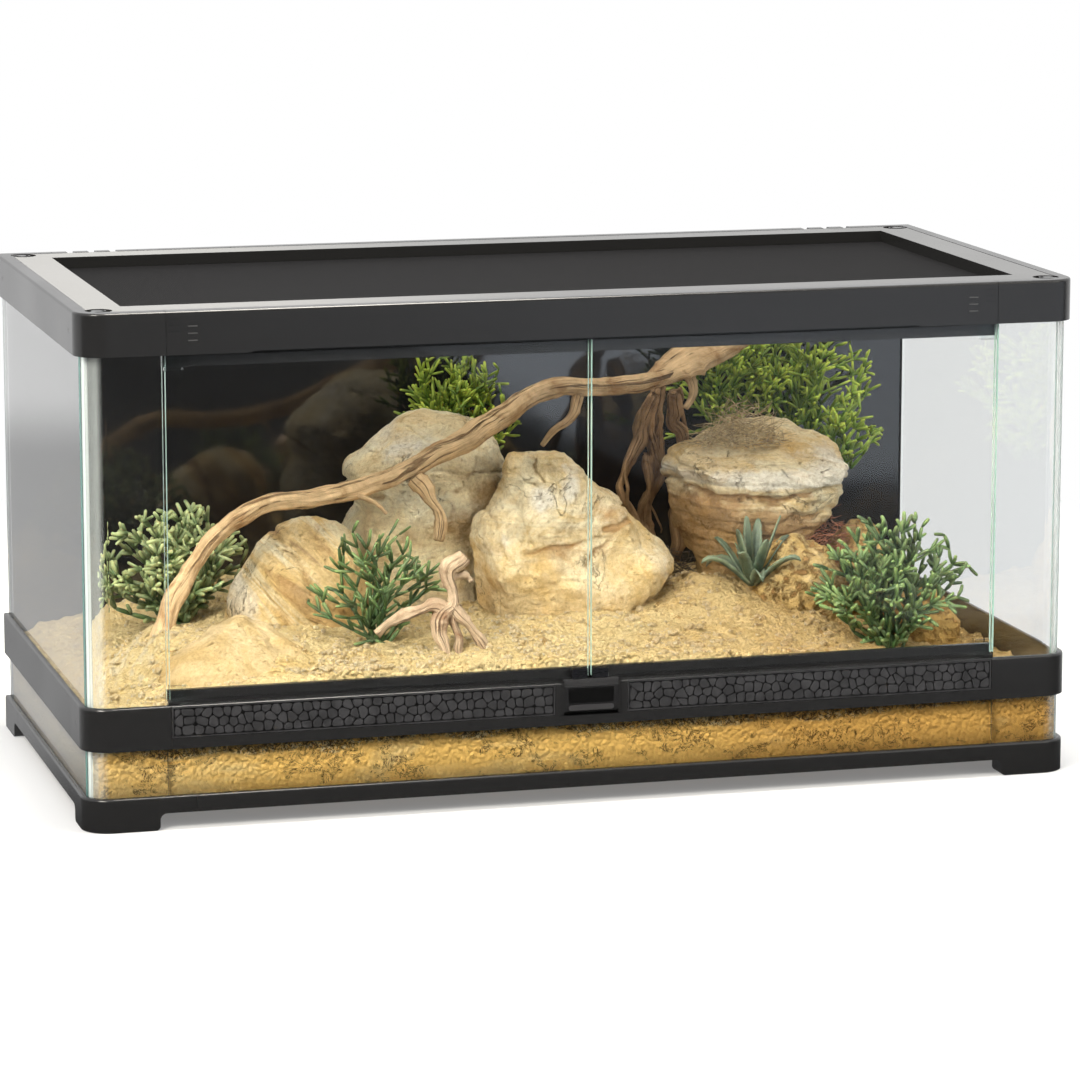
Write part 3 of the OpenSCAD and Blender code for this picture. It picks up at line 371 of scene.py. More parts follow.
@dataclass(frozen=True)
class PebblePlastic:
    """Moulded cobbles: a lighter crown, and painted shade that darkens the grooves between them.
    """

    name: str = "pebble_plastic"
    colour: Colour = (0.020, 0.020, 0.022)
    # colour of the painted shade in the grooves
    groove: Colour = (0.003, 0.003, 0.003)
    rough: float = 0.36
    crown_y: float = -0.2246
    groove_y: float = -0.2238

    def build(self) -> bpy.types.Material:
        """Returns the material."""
        s = Shade(self.name)
        skin = s.noise(420.0, 5.0, 0.65)
        pale = tuple(c * 1.7 for c in self.colour)
        colour = s.blend(s.span(s.noise(70.0, 3.0), 0.35, 0.7), self.colour, pale)
        # painted shade: darker towards the grooves
        low = s.span(s.axis("Y"), self.crown_y, self.groove_y)
        colour = s.blend(low, colour, self.groove)
        rough = s.span(skin, 0.3, 0.7, self.rough - 0.08, self.rough + 0.1)
        return s.finish(s.surface(colour, rough, s.bump(skin, 0.00022)))


class PaneKind(Enum):
    """Which way a pane's narrow edges face."""

    FRONT = "front"
    SIDE = "side"
    FLOOR = "floor"


@dataclass(frozen=True)
class FloatGlass:
    """Clear float glass whose ground edges show the green of the melt."""

    kind: PaneKind
    tint: Colour = (0.985, 0.995, 0.990)
    edge: Colour = (0.46, 0.64, 0.59)
    bend: float = 1.2
    strip_end: float = 0.3855
    edge_foot: float = 0.115
    # share of the faint painted reflection near the front of a side pane's bend
    painted_veil: float = 0.16

    def edge_share(self, s: Shade) -> Socket:
        """Returns 1 on the narrow edges of a pane and 0 on its faces."""
        if self.kind is PaneKind.FLOOR:
            return s.calc("LESS_THAN", s.size(s.axis("Z", s.facing)), 0.5)
        ends = s.times(s.calc("GREATER_THAN", s.size(s.axis("X", s.facing)), 0.5),
                       s.calc("GREATER_THAN", s.axis("Z"), self.edge_foot))
        if self.kind is PaneKind.SIDE:
            ends = s.times(ends, s.calc("LESS_THAN", s.size(s.axis("X")), self.strip_end))
        return ends

    def build(self) -> bpy.types.Material:
        """Returns the material."""
        s = Shade("float_glass_" + self.kind.value)
        clear = s.surface(self.tint, 0.0, Transmission_Weight=1.0, IOR=self.bend)
        ground = s.surface(
            s.blend(s.noise(160.0, 2.0), self.edge, tuple(min(1.0, c * 1.5) for c in self.edge)),
            0.12, Transmission_Weight=0.15, Coat_Weight=0.5)
        if self.kind is PaneKind.SIDE:
            # painted highlight and reflection: the bend of a side pane gets white and green lines
            # and a faint veil
            share, colour = self.bent(s)
            clear = s.mixed(share, clear, s.surface(colour, 0.3))
        glass = s.mixed(self.edge_share(s), clear, ground)
        return s.finish(s.lets_lamps_through(glass, (0.98, 0.99, 0.985)))

    def bent(self, s: Shade) -> tuple[Socket, Socket]:
        """Returns the share and the colour of the lines painted in a pane's bend: green where the
        glass is seen edge-on, white as painted highlights, and a faint painted reflection near the
        front.
        """
        turn = s.size(s.axis("Y", s.facing))
        tall = s.calc("LESS_THAN", s.size(s.axis("Z", s.facing)), 0.3)
        grey = [(0.04, 0.0), (0.10, 0.7), (0.22, 0.7), (0.28, 0.05), (0.38, 0.6), (0.50, 0.6),
                (0.58, 0.1), (0.90, self.painted_veil), (0.99, 0.0)]
        share = s.ramp(turn, [(place, (value, value, value)) for place, value in grey])
        colour = s.ramp(turn, [(0.25, (0.14, 0.33, 0.30)), (0.30, (0.80, 0.86, 0.85))])
        return s.times(share, tall), colour


@dataclass(frozen=True)
class ClearPlastic:
    """Milky clear plastic of the door clips."""

    colour: Colour = (0.95, 0.97, 0.97)

    def build(self) -> bpy.types.Material:
        """Returns the material."""
        s = Shade("clear_plastic")
        swirl = s.noise(120.0, 3.0)
        shader = s.surface(self.colour, s.span(swirl, 0.2, 0.8, 0.02, 0.06),
                           s.bump(swirl, 0.00005), Transmission_Weight=1.0, IOR=1.12)
        return s.finish(s.lets_lamps_through(shader, self.colour))


@dataclass(frozen=True)
class GlossPanel:
    """Glossy black sheet behind the interior."""

    colour: Colour = (0.011, 0.011, 0.012)

    def build(self) -> bpy.types.Material:
        """Returns the material."""
        s = Shade("gloss_panel")
        ripple = s.noise(5.0, 2.0)
        rough = s.span(s.noise(30.0, 4.0), 0.3, 0.8, 0.05, 0.10)
        return s.finish(s.surface(self.colour, rough, s.bump(ripple, 0.0003), IOR=2.0))


@dataclass(frozen=True)
class Metal:
    """Bright metal with fine brushed lines."""

    name: str
    colour: Colour = (0.62, 0.62, 0.63)
    rough: float = 0.26

    def build(self) -> bpy.types.Material:
        """Returns the material."""
        s = Shade(self.name)
        lines = s.noise(300.0, 3.0, 0.6, at=s.stretched((1.0, 1.0, 12.0)))
        rough = s.span(lines, 0.3, 0.7, self.rough - 0.08, self.rough + 0.12)
        return s.finish(s.surface(self.colour, rough, s.bump(lines, 0.00003), Metallic=1.0))


@dataclass(frozen=True)
class InsectMesh:
    """Black woven mesh: crossed threads with small openings."""

    pitch: float = 0.0062
    colour: Colour = (0.006, 0.006, 0.0065)
    open_share: float = 0.6

    def build(self) -> bpy.types.Material:
        """Returns the material."""
        s = Shade("insect_mesh")
        turned = s.stretched((1.0, 1.0, 1.0), (0.0, 0.0, math.radians(45)))
        threads = []
        for letter in "XY":
            wave = s.times(s.axis(letter, turned), 2 * math.pi / self.pitch)
            threads.append(s.size(s.calc("SINE", wave)))
        weave = s.times(threads[0], threads[1])
        colour = s.blend(s.span(weave, 0.1, 0.6), tuple(c * 2.2 for c in self.colour),
                         tuple(c * 0.3 for c in self.colour))
        body = s.surface(colour, 0.7, s.bump(weave, -0.0004), Specular_IOR_Level=0.03)
        return s.finish(s.lets_lamps_through(body, (1.0, 1.0, 1.0), self.open_share))


@dataclass(frozen=True)
class SoftRubber:
    """Silicone and rubber: dull, with a faint skin."""

    name: str
    colour: Colour = (0.02, 0.02, 0.02)

    def build(self) -> bpy.types.Material:
        """Returns the material."""
        s = Shade(self.name)
        skin = s.noise(260.0, 3.0)
        return s.finish(s.surface(self.colour, s.span(skin, 0.2, 0.8, 0.42, 0.62),
                                  s.bump(skin, 0.00008)))


@dataclass(frozen=True)
class DrySand:
    """Crumbly yellow sand with painted shade in its hollows, cracks and right side, and painted
    light on its crests and left faces; where it is packed against glass it is browner.
    """

    # pale sand, also used as the painted highlight on crests and raised crumbs
    light: Colour = (0.98, 0.79, 0.43)
    mid: Colour = (0.90, 0.66, 0.29)
    # colour of the painted shade in hollows
    deep: Colour = (0.50, 0.29, 0.095)
    packed: Colour = (1.0, 0.63, 0.185)
    # colour of the painted light on faces turned to the left
    painted_side_light: Colour = (0.98, 0.88, 0.66)
    # colour of the painted shade in the cracks of packed sand
    crumb: Colour = (0.07, 0.035, 0.012)
    packed_top: float = 0.088
    shake: float = 0.006
    shake_scale: float = 120.0
    # colour multiplied in as painted shade towards the right
    dim: Colour = (0.84, 0.76, 0.67)

    def build(self) -> bpy.types.Material:
        """Returns the material."""
        s = Shade("dry_sand")
        grains = s.cells(1100.0)
        lumps = s.noise(260.0, 5.0, 0.72, 0.4)
        clods = s.cells(210.0, at=self.shaken(s))
        cloud = s.noise(19.0, 6.0, 0.66)
        colour = s.ramp(cloud, [(0.32, self.mid), (0.50, self.light), (0.72, self.mid)])
        gaps = s.noise(62.0, 7.0, 0.74, 0.8)
        # painted shade darkens the hollows of the relief, and a painted highlight lightens the
        # crests
        colour = s.blend(s.span(gaps, 0.42, 0.33, 0.0, 0.85), colour, self.deep)
        colour = s.blend(s.span(gaps, 0.52, 0.60, 0.0, 0.7), colour, self.light)
        colour = s.blend(s.span(lumps, 0.42, 0.34, 0.0, 0.7), colour, self.deep)
        colour = s.blend(s.span(clods, 0.65, 0.90, 0.0, 0.35), colour, self.deep)
        packed = s.span(s.axis("Z"), self.packed_top, self.packed_top - 0.006)
        colour = s.blend(packed, colour, self.against_glass(s, lumps))
        # painted shade: the cracks of packed sand are darkened
        holes = s.times(self.cracks(s), packed, 0.92)
        colour = s.blend(holes, colour, self.crumb)
        # painted light: faces turned to the left are paler
        left_face = s.span(s.axis("X", s.facing), -0.5, -0.9, 0.0, 0.85)
        colour = s.blend(left_face, colour, self.painted_side_light)
        tint = s.ramp(grains, [(0.0, (1.0, 1.0, 1.0)), (0.85, (0.62, 0.53, 0.40))])
        colour = s.blend(0.35, colour, tint, "MULTIPLY")
        # painted shade: darker towards the right
        right_shade_share = s.calc("ADD", s.axis("X"), s.times(s.noise(7.0, 3.0), 0.25))
        colour = s.blend(s.span(right_shade_share, 0.14, 0.36), colour, self.dim, "MULTIPLY")
        relief = s.bump(lumps, 0.0070, s.bump(grains, -0.0010))
        relief = s.bump(clods, -0.0030, s.bump(gaps, 0.0055, relief))
        return s.finish(s.surface(colour, 0.92, s.bump(holes, -0.0008, relief),
                                  Specular_IOR_Level=0.15))

    def shaken(self, s: Shade) -> Socket:
        """Returns coordinates that a noise has pushed about."""
        cloud = s.add("ShaderNodeTexNoise", {"Vector": s.place, "Scale": self.shake_scale})
        push = s.add("ShaderNodeVectorMath", {0: cloud.outputs["Color"], "Scale": self.shake},
                     operation="SCALE")
        return s.add("ShaderNodeVectorMath", {0: s.place, 1: push.outputs[0]},
                     operation="ADD").outputs[0]

    def against_glass(self, s: Shade, lumps: Socket) -> Socket:
        """Returns the colour of the packed sand: soft clouds, pale and crumbly at the top, where
        raised crumbs get a painted highlight.
        """
        smooth = s.noise(13.0, 5.0, 0.6, 0.4, at=s.stretched((0.6, 0.6, 1.6)))
        brown = s.ramp(smooth, [(0.30, self.mid), (0.47, self.packed), (0.62, self.packed),
                                (0.75, self.mid)])
        # painted highlight: raised crumbs in the top layer are paler
        return s.blend(s.times(self.loose(s), s.span(lumps, 0.48, 0.56)), brown, self.light)

    def loose(self, s: Shade) -> Socket:
        """Returns 1 in the crumbly layer along the top of the packed sand."""
        wave = s.noise(11.0, 4.0, 0.55, 0.3, at=s.stretched((1.0, 1.0, 0.2)))
        edge = s.calc("ADD", s.axis("Z"), s.times(wave, 0.034))
        return s.span(edge, 0.0795, 0.0835)

    def cracks(self, s: Shade) -> Socket:
        """Returns 1 in the gaps between crumbs of packed sand, which the caller darkens with
        painted shade.
        """
        vein = s.size(s.calc("SUBTRACT", s.noise(85.0, 6.0, 0.70, 1.2), 0.5))
        gap = s.span(vein, 0.020, 0.010)
        fine = s.size(s.calc("SUBTRACT", s.noise(190.0, 4.0, 0.70, 1.0), 0.5))
        patch = s.noise(24.0, 4.0, 0.65, 0.8, at=s.stretched((0.8, 0.8, 1.3)))
        patches = s.times(gap, s.span(patch, 0.51, 0.55))
        crumbly = s.times(s.span(fine, 0.050, 0.030), self.loose(s))
        return s.calc("MAXIMUM", patches, crumbly)


class StoneKind(Enum):
    """The kinds of sandstone in the interior."""

    PALE = "pale"
    OCHRE = "ochre"
    STRIPED = "striped"
    LAYERED = "layered"
    ROUGH = "rough"
    SMOOTH = "smooth"


@dataclass(frozen=True)
class Sandstone:
    """Weathered sandstone: cream and ochre clouds, worn layers, rust patches, brown and pale
    patches from the tone attribute that are partly painted shade and light, and fine cracks and
    pits darkened with painted shade.
    """

    kind: StoneKind
    light: Colour = (0.87, 0.70, 0.41)
    bright: Colour = (0.95, 0.85, 0.61)
    warm: Colour = (0.80, 0.55, 0.22)
    # dark ochre of rust and strata lines, and of the painted shade in pits
    stain_and_pit_shade: Colour = (0.44, 0.23, 0.08)
    # brown of patches and of painted shade on undersides, shaded sides and cracks
    brown_patch_and_shade: Colour = (0.42, 0.22, 0.075)
    # pale of patches and of painted light on lit tops
    pale_patch_and_light: Colour = (0.95, 0.89, 0.76)
    # colour of the painted shade in fine cracks
    crack: Colour = (0.16, 0.09, 0.04)
    layer_scale: float = 60.0
    stain_share: float = 0.6
    band_share: float = 0.2
    tilt: Point = (0.05, 0.04, 0.0)
    veins: float = 0.6
    foot: float = 0.150

    def build(self) -> bpy.types.Material:
        """Returns the material."""
        s = Shade("sandstone_" + self.kind.value)
        cloud = s.noise(15.0, 7.0, 0.64, 0.6)
        colour = s.ramp(cloud, [(0.33, self.warm), (0.46, self.light), (0.57, self.bright),
                                (0.64, self.light), (0.76, self.warm)])
        layers = s.noise(self.layer_scale, 4.0, 0.62, 0.7,
                         at=s.stretched((0.12, 0.12, 1.0), self.tilt))
        band = s.ramp(layers, [(0.34, self.stain_and_pit_shade), (0.45, self.warm), (0.53, self.light),
                               (0.60, self.bright), (0.70, self.warm)])
        colour = s.blend(self.band_share, colour, band)
        # the tone attribute: brown for patches and painted shade, pale for patches and painted
        # light; see Rock.tone
        tone = s.add("ShaderNodeAttribute", attribute_name="tone").outputs["Fac"]
        torn = s.times(s.calc("SUBTRACT", s.noise(34.0, 6.0, 0.65, 0.5), 0.5), 1.6)
        marked = s.calc("ADD", tone, torn)
        colour = s.blend(s.span(marked, 0.15, 0.75, 0.0, 0.75), colour, self.brown_patch_and_shade)
        colour = s.blend(s.span(marked, -0.30, -0.85, 0.0, 0.9), colour, self.pale_patch_and_light)
        rust = s.span(s.noise(11.0, 7.0, 0.7, 1.0), 0.50, 0.66)
        low = s.span(s.axis("Z"), self.foot + 0.05, self.foot - 0.03)
        colour = s.blend(s.times(rust, self.stain_share), colour,
                         s.blend(0.5, self.warm, self.stain_and_pit_shade))
        colour = s.blend(s.times(low, 0.5), colour, self.warm)
        # painted shade: fine cracks are darkened
        vein = s.size(s.calc("SUBTRACT", s.noise(9.0, 7.0, 0.6, 1.4), 0.5))
        crack = s.times(s.span(vein, 0.007, 0.001), s.span(s.noise(14.0, 3.0), 0.48, 0.60))
        colour = s.blend(s.times(crack, self.veins), colour, self.crack)
        # painted shade: pits are darkened
        pit_top, pit_share = (0.50, 0.8) if self.kind is StoneKind.ROUGH else (0.40, 0.3)
        pits = s.span(s.noise(120.0, 4.0, 0.75, 0.4), pit_top, pit_top - 0.10)
        colour = s.blend(s.times(pits, pit_share), colour, self.stain_and_pit_shade)
        grit = s.noise(260.0, 5.0, 0.75)
        colour = s.blend(0.55, colour, s.ramp(grit, [(0.34, (0.60, 0.53, 0.42)),
                                                     (0.56, (1.0, 1.0, 1.0))]), "MULTIPLY")
        relief = s.bump(grit, 0.0016)
        relief = s.bump(s.noise(52.0, 7.0, 0.72, 0.5), 0.009, relief)
        relief = s.bump(layers, 0.012 * self.band_share + 0.001, relief)
        relief = s.bump(pits, -0.008 * pit_share, relief)
        relief = s.bump(crack, -0.004 * self.veins, relief)
        return s.finish(s.surface(colour, s.span(grit, 0.2, 0.8, 0.80, 0.95), relief,
                                  Specular_IOR_Level=0.08))


@dataclass(frozen=True)
class WeatheredWood:
    """Dry driftwood: tan fibres with brown furrows whose deepest splits are darkened with painted
    shade, read along the piece's own UV map.
    """

    name: str
    pale: Colour = (0.68, 0.48, 0.27)
    brown: Colour = (0.44, 0.26, 0.12)
    # colour of the painted shade in the deepest splits
    dark: Colour = (0.12, 0.055, 0.022)
    furrow: float = 0.0018

    def build(self) -> bpy.types.Material:
        """Returns the material."""
        s = Shade(self.name)
        uv = s.add("ShaderNodeUVMap", uv_map="grain").outputs["UV"]
        fibre = s.noise(1.0, 5.0, 0.68, 0.6, at=s.stretched((48.0, 16.0, 1.0), source=uv))
        split = s.noise(1.0, 5.0, 0.6, 1.2, at=s.stretched((11.0, 9.0, 1.0), source=uv))
        cloud = s.noise(38.0, 5.0, 0.65, 0.5)
        colour = s.ramp(cloud, [(0.34, self.brown), (0.50, self.pale),
                                (0.66, tuple(min(1.0, c * 1.22) for c in self.pale)),
                                (0.78, self.brown)])
        tint = s.ramp(fibre, [(0.34, (0.45, 0.36, 0.28)), (0.50, (1.0, 1.0, 1.0))])
        colour = s.blend(0.6, colour, tint, "MULTIPLY")
        # painted shade: the sunken splits are darkened
        deep = s.span(split, 0.435, 0.365)
        colour = s.blend(s.times(deep, 0.65), colour, self.dark)
        relief = s.bump(fibre, self.furrow, s.bump(s.noise(420.0, 3.0), 0.0003))
        relief = s.bump(deep, -2.0 * self.furrow, relief)
        return s.finish(s.surface(colour, 0.85, relief, Specular_IOR_Level=0.12))


@dataclass(frozen=True)
class PlantSkin:
    """Waxy plant skin that is paler at its young tips, from the piece's "tip" attribute."""

    name: str
    base: Colour = (0.05, 0.14, 0.035)
    tip: Colour = (0.30, 0.46, 0.10)
    bloom: Colour = (0.42, 0.50, 0.30)
    bloom_share: float = 0.25

    def build(self) -> bpy.types.Material:
        """Returns the material."""
        s = Shade(self.name)
        tip = s.add("ShaderNodeAttribute", attribute_name="tip").outputs["Fac"]
        cloud = s.noise(60.0, 4.0, 0.6)
        colour = s.blend(s.span(tip, 0.0, 1.0), self.base, self.tip)
        shade = tuple(c * 0.5 for c in self.base)
        colour = s.blend(s.span(s.noise(42.0, 3.0), 0.55, 0.40, 0.0, 0.6), colour, shade)
        bloomed = s.times(s.span(cloud, 0.45, 0.7), self.bloom_share)
        colour = s.blend(bloomed, colour, self.bloom)
        return s.finish(s.surface(colour, s.span(cloud, 0.3, 0.7, 0.36, 0.52),
                                  s.bump(s.cells(700.0), -0.0003), Subsurface_Weight=0.12,
                                  Subsurface_Scale=0.004, Specular_IOR_Level=0.45))


@dataclass(frozen=True)
class DryMoss:
    """Thin curled strands of dry moss."""

    name: str
    pale: Colour = (0.58, 0.45, 0.24)
    dark: Colour = (0.24, 0.16, 0.07)

    def build(self) -> bpy.types.Material:
        """Returns the material."""
        s = Shade(self.name)
        strand = s.noise(220.0, 3.0)
        colour = s.blend(s.span(strand, 0.35, 0.65), self.dark, self.pale)
        return s.finish(s.surface(colour, 0.85, s.bump(strand, 0.0003), Sheen_Weight=0.2))


# ---------------------------------------------------------------- building helpers


class Piece:
    """One new mesh of the object, made from a bmesh."""

    @staticmethod
    def make(name: str, shape: bmesh.types.BMesh, material: bpy.types.Material, body: str,
             slot: str, nodes: Sequence[str] = (), smooth: bool = True) -> None:
        """Turns a bmesh into a finished piece that rides on a body.

        Args:
            name: Name of the piece.
            shape: The shape, which is freed.
            material: Its finish.
            body: Body that it moves with.
            slot: The record's material slot; not used.
            nodes: CAD nodes that it stands for.
            smooth: Whether its faces are shaded smoothly.
        """
        mesh = bpy.data.meshes.new(name)
        for face in shape.faces:
            face.smooth = smooth
        shape.to_mesh(mesh)
        shape.free()
        mesh.materials.append(material)
        piece = bpy.data.objects.new(name, mesh)
        bpy.context.scene.collection.objects.link(piece)
        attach(piece, body)
        if nodes:
            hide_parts(*nodes)
        LOG.info("built %s: %d faces", name, len(mesh.polygons))

    @staticmethod
    def pour(part: bmesh.types.BMesh, whole: bmesh.types.BMesh) -> None:
        """Adds a small mesh to a larger one and frees it."""
        carrier = bpy.data.meshes.new("carrier")
        part.to_mesh(carrier)
        part.free()
        whole.from_mesh(carrier)
        bpy.data.meshes.remove(carrier)

    @staticmethod
    def dress(material: bpy.types.Material, nodes: Sequence[str]) -> None:
        """Gives CAD nodes a finish.

        Args:
            material: The finish.
            nodes: Names of the CAD nodes.
        """
        for name in nodes:
            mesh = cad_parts[name].data
            mesh.materials.clear()
            mesh.materials.append(material)
        LOG.info("dressed %d nodes in %s", len(nodes), material.name)


def metres(points: Sequence[Sequence[float]]) -> list[tuple[float, ...]]:
    """Turns points in millimetres into metres."""
    return [tuple(part / MM for part in point) for point in points]


def smooth_path(points: Sequence[Point], steps: int) -> list[Vector]:
    """Runs a smooth curve through points.

    Args:
        points: Points of the route.
        steps: Pieces between two points.

    Returns:
        The points of the curve.
    """
    route = [Vector(p) for p in points]
    ends = [2 * route[0] - route[1], *route, 2 * route[-1] - route[-2]]
    curve = []
    for a, b, c, d in zip(ends, ends[1:], ends[2:], ends[3:]):
        for k in range(steps):
            t = k / steps
            curve.append(0.5 * (2 * b + (c - a) * t + (2 * a - 5 * b + 4 * c - d) * t * t
                                + (3 * b - a - 3 * c + d) * t ** 3))
    curve.append(route[-1])
    return curve


def sweep(shape: bmesh.types.BMesh, path: Sequence[Vector],
          radius: Callable[[float, float], float], sides: int,
          tips: Callable[[float], float] | None = None, flat: float = 1.0) -> None:
    """Extrudes a ring along a path, closes both ends and adds the tube to a mesh.

    Args:
        shape: Mesh that receives the tube.
        path: Points of the middle line.
        radius: Radius from the share of the length and the angle round it.
        sides: Corners of the ring.
        tips: Value of the "tip" attribute along the length.
        flat: Thickness of the section over its width.
    """
    tube = bmesh.new()
    uv = tube.loops.layers.uv.new("grain")
    tip = tube.verts.layers.float.new("tip")
    ring = bmesh.ops.create_circle(tube, segments=sides, radius=1.0)["verts"]
    edges = list({e for v in ring for e in v.link_edges})
    last = len(path) - 1
    lengths = [0.0]
    for a, b in zip(path, path[1:]):
        lengths.append(lengths[-1] + (b - a).length)
    total = lengths[-1] or 1.0
    side = (path[1] - path[0]).normalized().orthogonal().normalized()
    rings = []
    for k in range(last + 1):
        if k:
            grown = bmesh.ops.extrude_edge_only(tube, edges=edges)["geom"]
            ring = [v for v in grown if isinstance(v, bmesh.types.BMVert)]
            fresh = set(ring)
            edges = [e for e in grown if isinstance(e, bmesh.types.BMEdge)
                     and e.verts[0] in fresh and e.verts[1] in fresh]
        ring = ordered(ring, edges)
        ahead = (path[min(k + 1, last)] - path[max(k - 1, 0)]).normalized()
        side = (side - ahead * side.dot(ahead)).normalized()
        up = ahead.cross(side)
        share = lengths[k] / total
        for j, vert in enumerate(ring):
            angle = 2 * math.pi * j / sides
            r = radius(share, angle)
            vert.co = path[k] + side * (r * math.cos(angle)) + up * (r * flat * math.sin(angle))
            vert[tip] = tips(share) if tips else 0.0
        rings.append(ring)
    place = {v: (j / sides, lengths[k]) for k, ring in enumerate(rings)
             for j, v in enumerate(ring)}
    for face in tube.faces:
        spots = [place[loop.vert] for loop in face.loops]
        wraps = max(s[0] for s in spots) - min(s[0] for s in spots) > 0.5
        for loop, (u, v) in zip(face.loops, spots):
            loop[uv].uv = (u + 1.0 if wraps and u < 0.5 else u, v)
    for end in (rings[0], rings[-1]):
        cap = tube.faces.new(end)
        for loop in cap.loops:
            loop[uv].uv = place[loop.vert]
    bmesh.ops.recalc_face_normals(tube, faces=tube.faces)
    Piece.pour(tube, shape)


def ordered(ring: Sequence[bmesh.types.BMVert],
            edges: Sequence[bmesh.types.BMEdge]) -> list[bmesh.types.BMVert]:
    """Sorts the corners of a ring so that each follows its neighbour.

    Args:
        ring: The corners.
        edges: The ring's edges.

    Returns:
        The corners in order, from the first one.
    """
    near: dict[bmesh.types.BMVert, list[bmesh.types.BMVert]] = {v: [] for v in ring}
    for edge in edges:
        a, b = edge.verts
        near[a].append(b)
        near[b].append(a)
    chain = [ring[0], near[ring[0]][0]]
    while len(chain) < len(ring):
        a, b = near[chain[-1]]
        chain.append(b if a is chain[-2] else a)
    return chain


# ---------------------------------------------------------------- sub-assemblies


@dataclass
class MouldedFrames:
    """The three moulded frames with their corner pieces, sills and cable gates."""

    levels: tuple[str, ...] = ("base", "mid", "top")
    parts: tuple[str, ...] = ("corners_front", "corners_rear", "rail_front", "rail_rear",
                              "rails_side")
    extras: tuple[str, ...] = ("door_sill", "door_header", "cable_ports", "cable_gate_left",
                               "cable_gate_right")

    def build(self) -> None:
        """Dresses the frames and their plugs."""
        names = [f"{level}_{part}" for level in self.levels for part in self.parts]
        Piece.dress(MouldedPlastic().build(), [*names, *self.extras])
        Piece.dress(RibbedPlastic().build(), ["top_rail_front", "top_corners_front"])
        Piece.dress(Metal("plug_steel", rough=0.2).build(), ["corner_plugs"])


@dataclass
class GlassTank:
    """The glued glass, its beads and the sheet behind the interior."""

    fronts: tuple[str, ...] = ("rear_glass", "low_front_glass")
    sides: tuple[str, ...] = ("left_glass", "right_glass")

    def build(self) -> None:
        """Dresses the panes, the beads and the background."""
        Piece.dress(FloatGlass(PaneKind.FRONT).build(),
                    [*self.fronts, "door_glass_left", "door_glass_right"])
        Piece.dress(FloatGlass(PaneKind.SIDE, bend=1.42).build(), self.sides)
        Piece.dress(FloatGlass(PaneKind.FLOOR).build(), ["bottom_glass"])
        Piece.dress(SoftRubber("cured_silicone").build(), ["silicone_beads"])
        Piece.dress(GlossPanel().build(), ["background_panel"])


@dataclass
class Doors:
    """The doors' clips and catches."""

    hands: tuple[str, ...] = ("left", "right")

    def build(self) -> None:
        """Dresses the fittings of both doors."""
        Piece.dress(ClearPlastic().build(), [f"door_clips_{hand}" for hand in self.hands])
        Piece.dress(Metal("catch_steel", (0.10, 0.10, 0.11), 0.3).build(),
                    [f"door_catch_{hand}" for hand in self.hands])


@dataclass
class FrontPlate:
    """The cobbled panels and the latch between them."""

    hands: tuple[str, ...] = ("left", "right")

    def build(self) -> None:
        """Dresses the panels and the latch."""
        Piece.dress(PebblePlastic().build(), [f"pebble_panel_{hand}" for hand in self.hands])
        Piece.dress(MouldedPlastic("housing_plastic", rough=0.22).build(), ["latch_housing"])
        Piece.dress(LatchPlastic().build(), ["latch_lever"])
        Piece.dress(Metal("latch_steel").build(), ["latch_pin", "latch_spring"])


@dataclass
class ScreenLid:
    """The lift-out lid with its mesh and turning locks."""

    corners: tuple[str, ...] = ("front_left", "front_right", "rear_left", "rear_right")

    def build(self) -> None:
        """Dresses the lid."""
        Piece.dress(LidPlastic().build(), ["lid_frame"])
        Piece.dress(MouldedPlastic("lock_plastic", (0.016, 0.016, 0.017), 0.26).build(),
                    [f"lid_lock_{corner}" for corner in self.corners])
        Piece.dress(InsectMesh().build(), ["lid_mesh"])
        Piece.dress(SoftRubber("spline_rubber").build(), ["mesh_spline"])


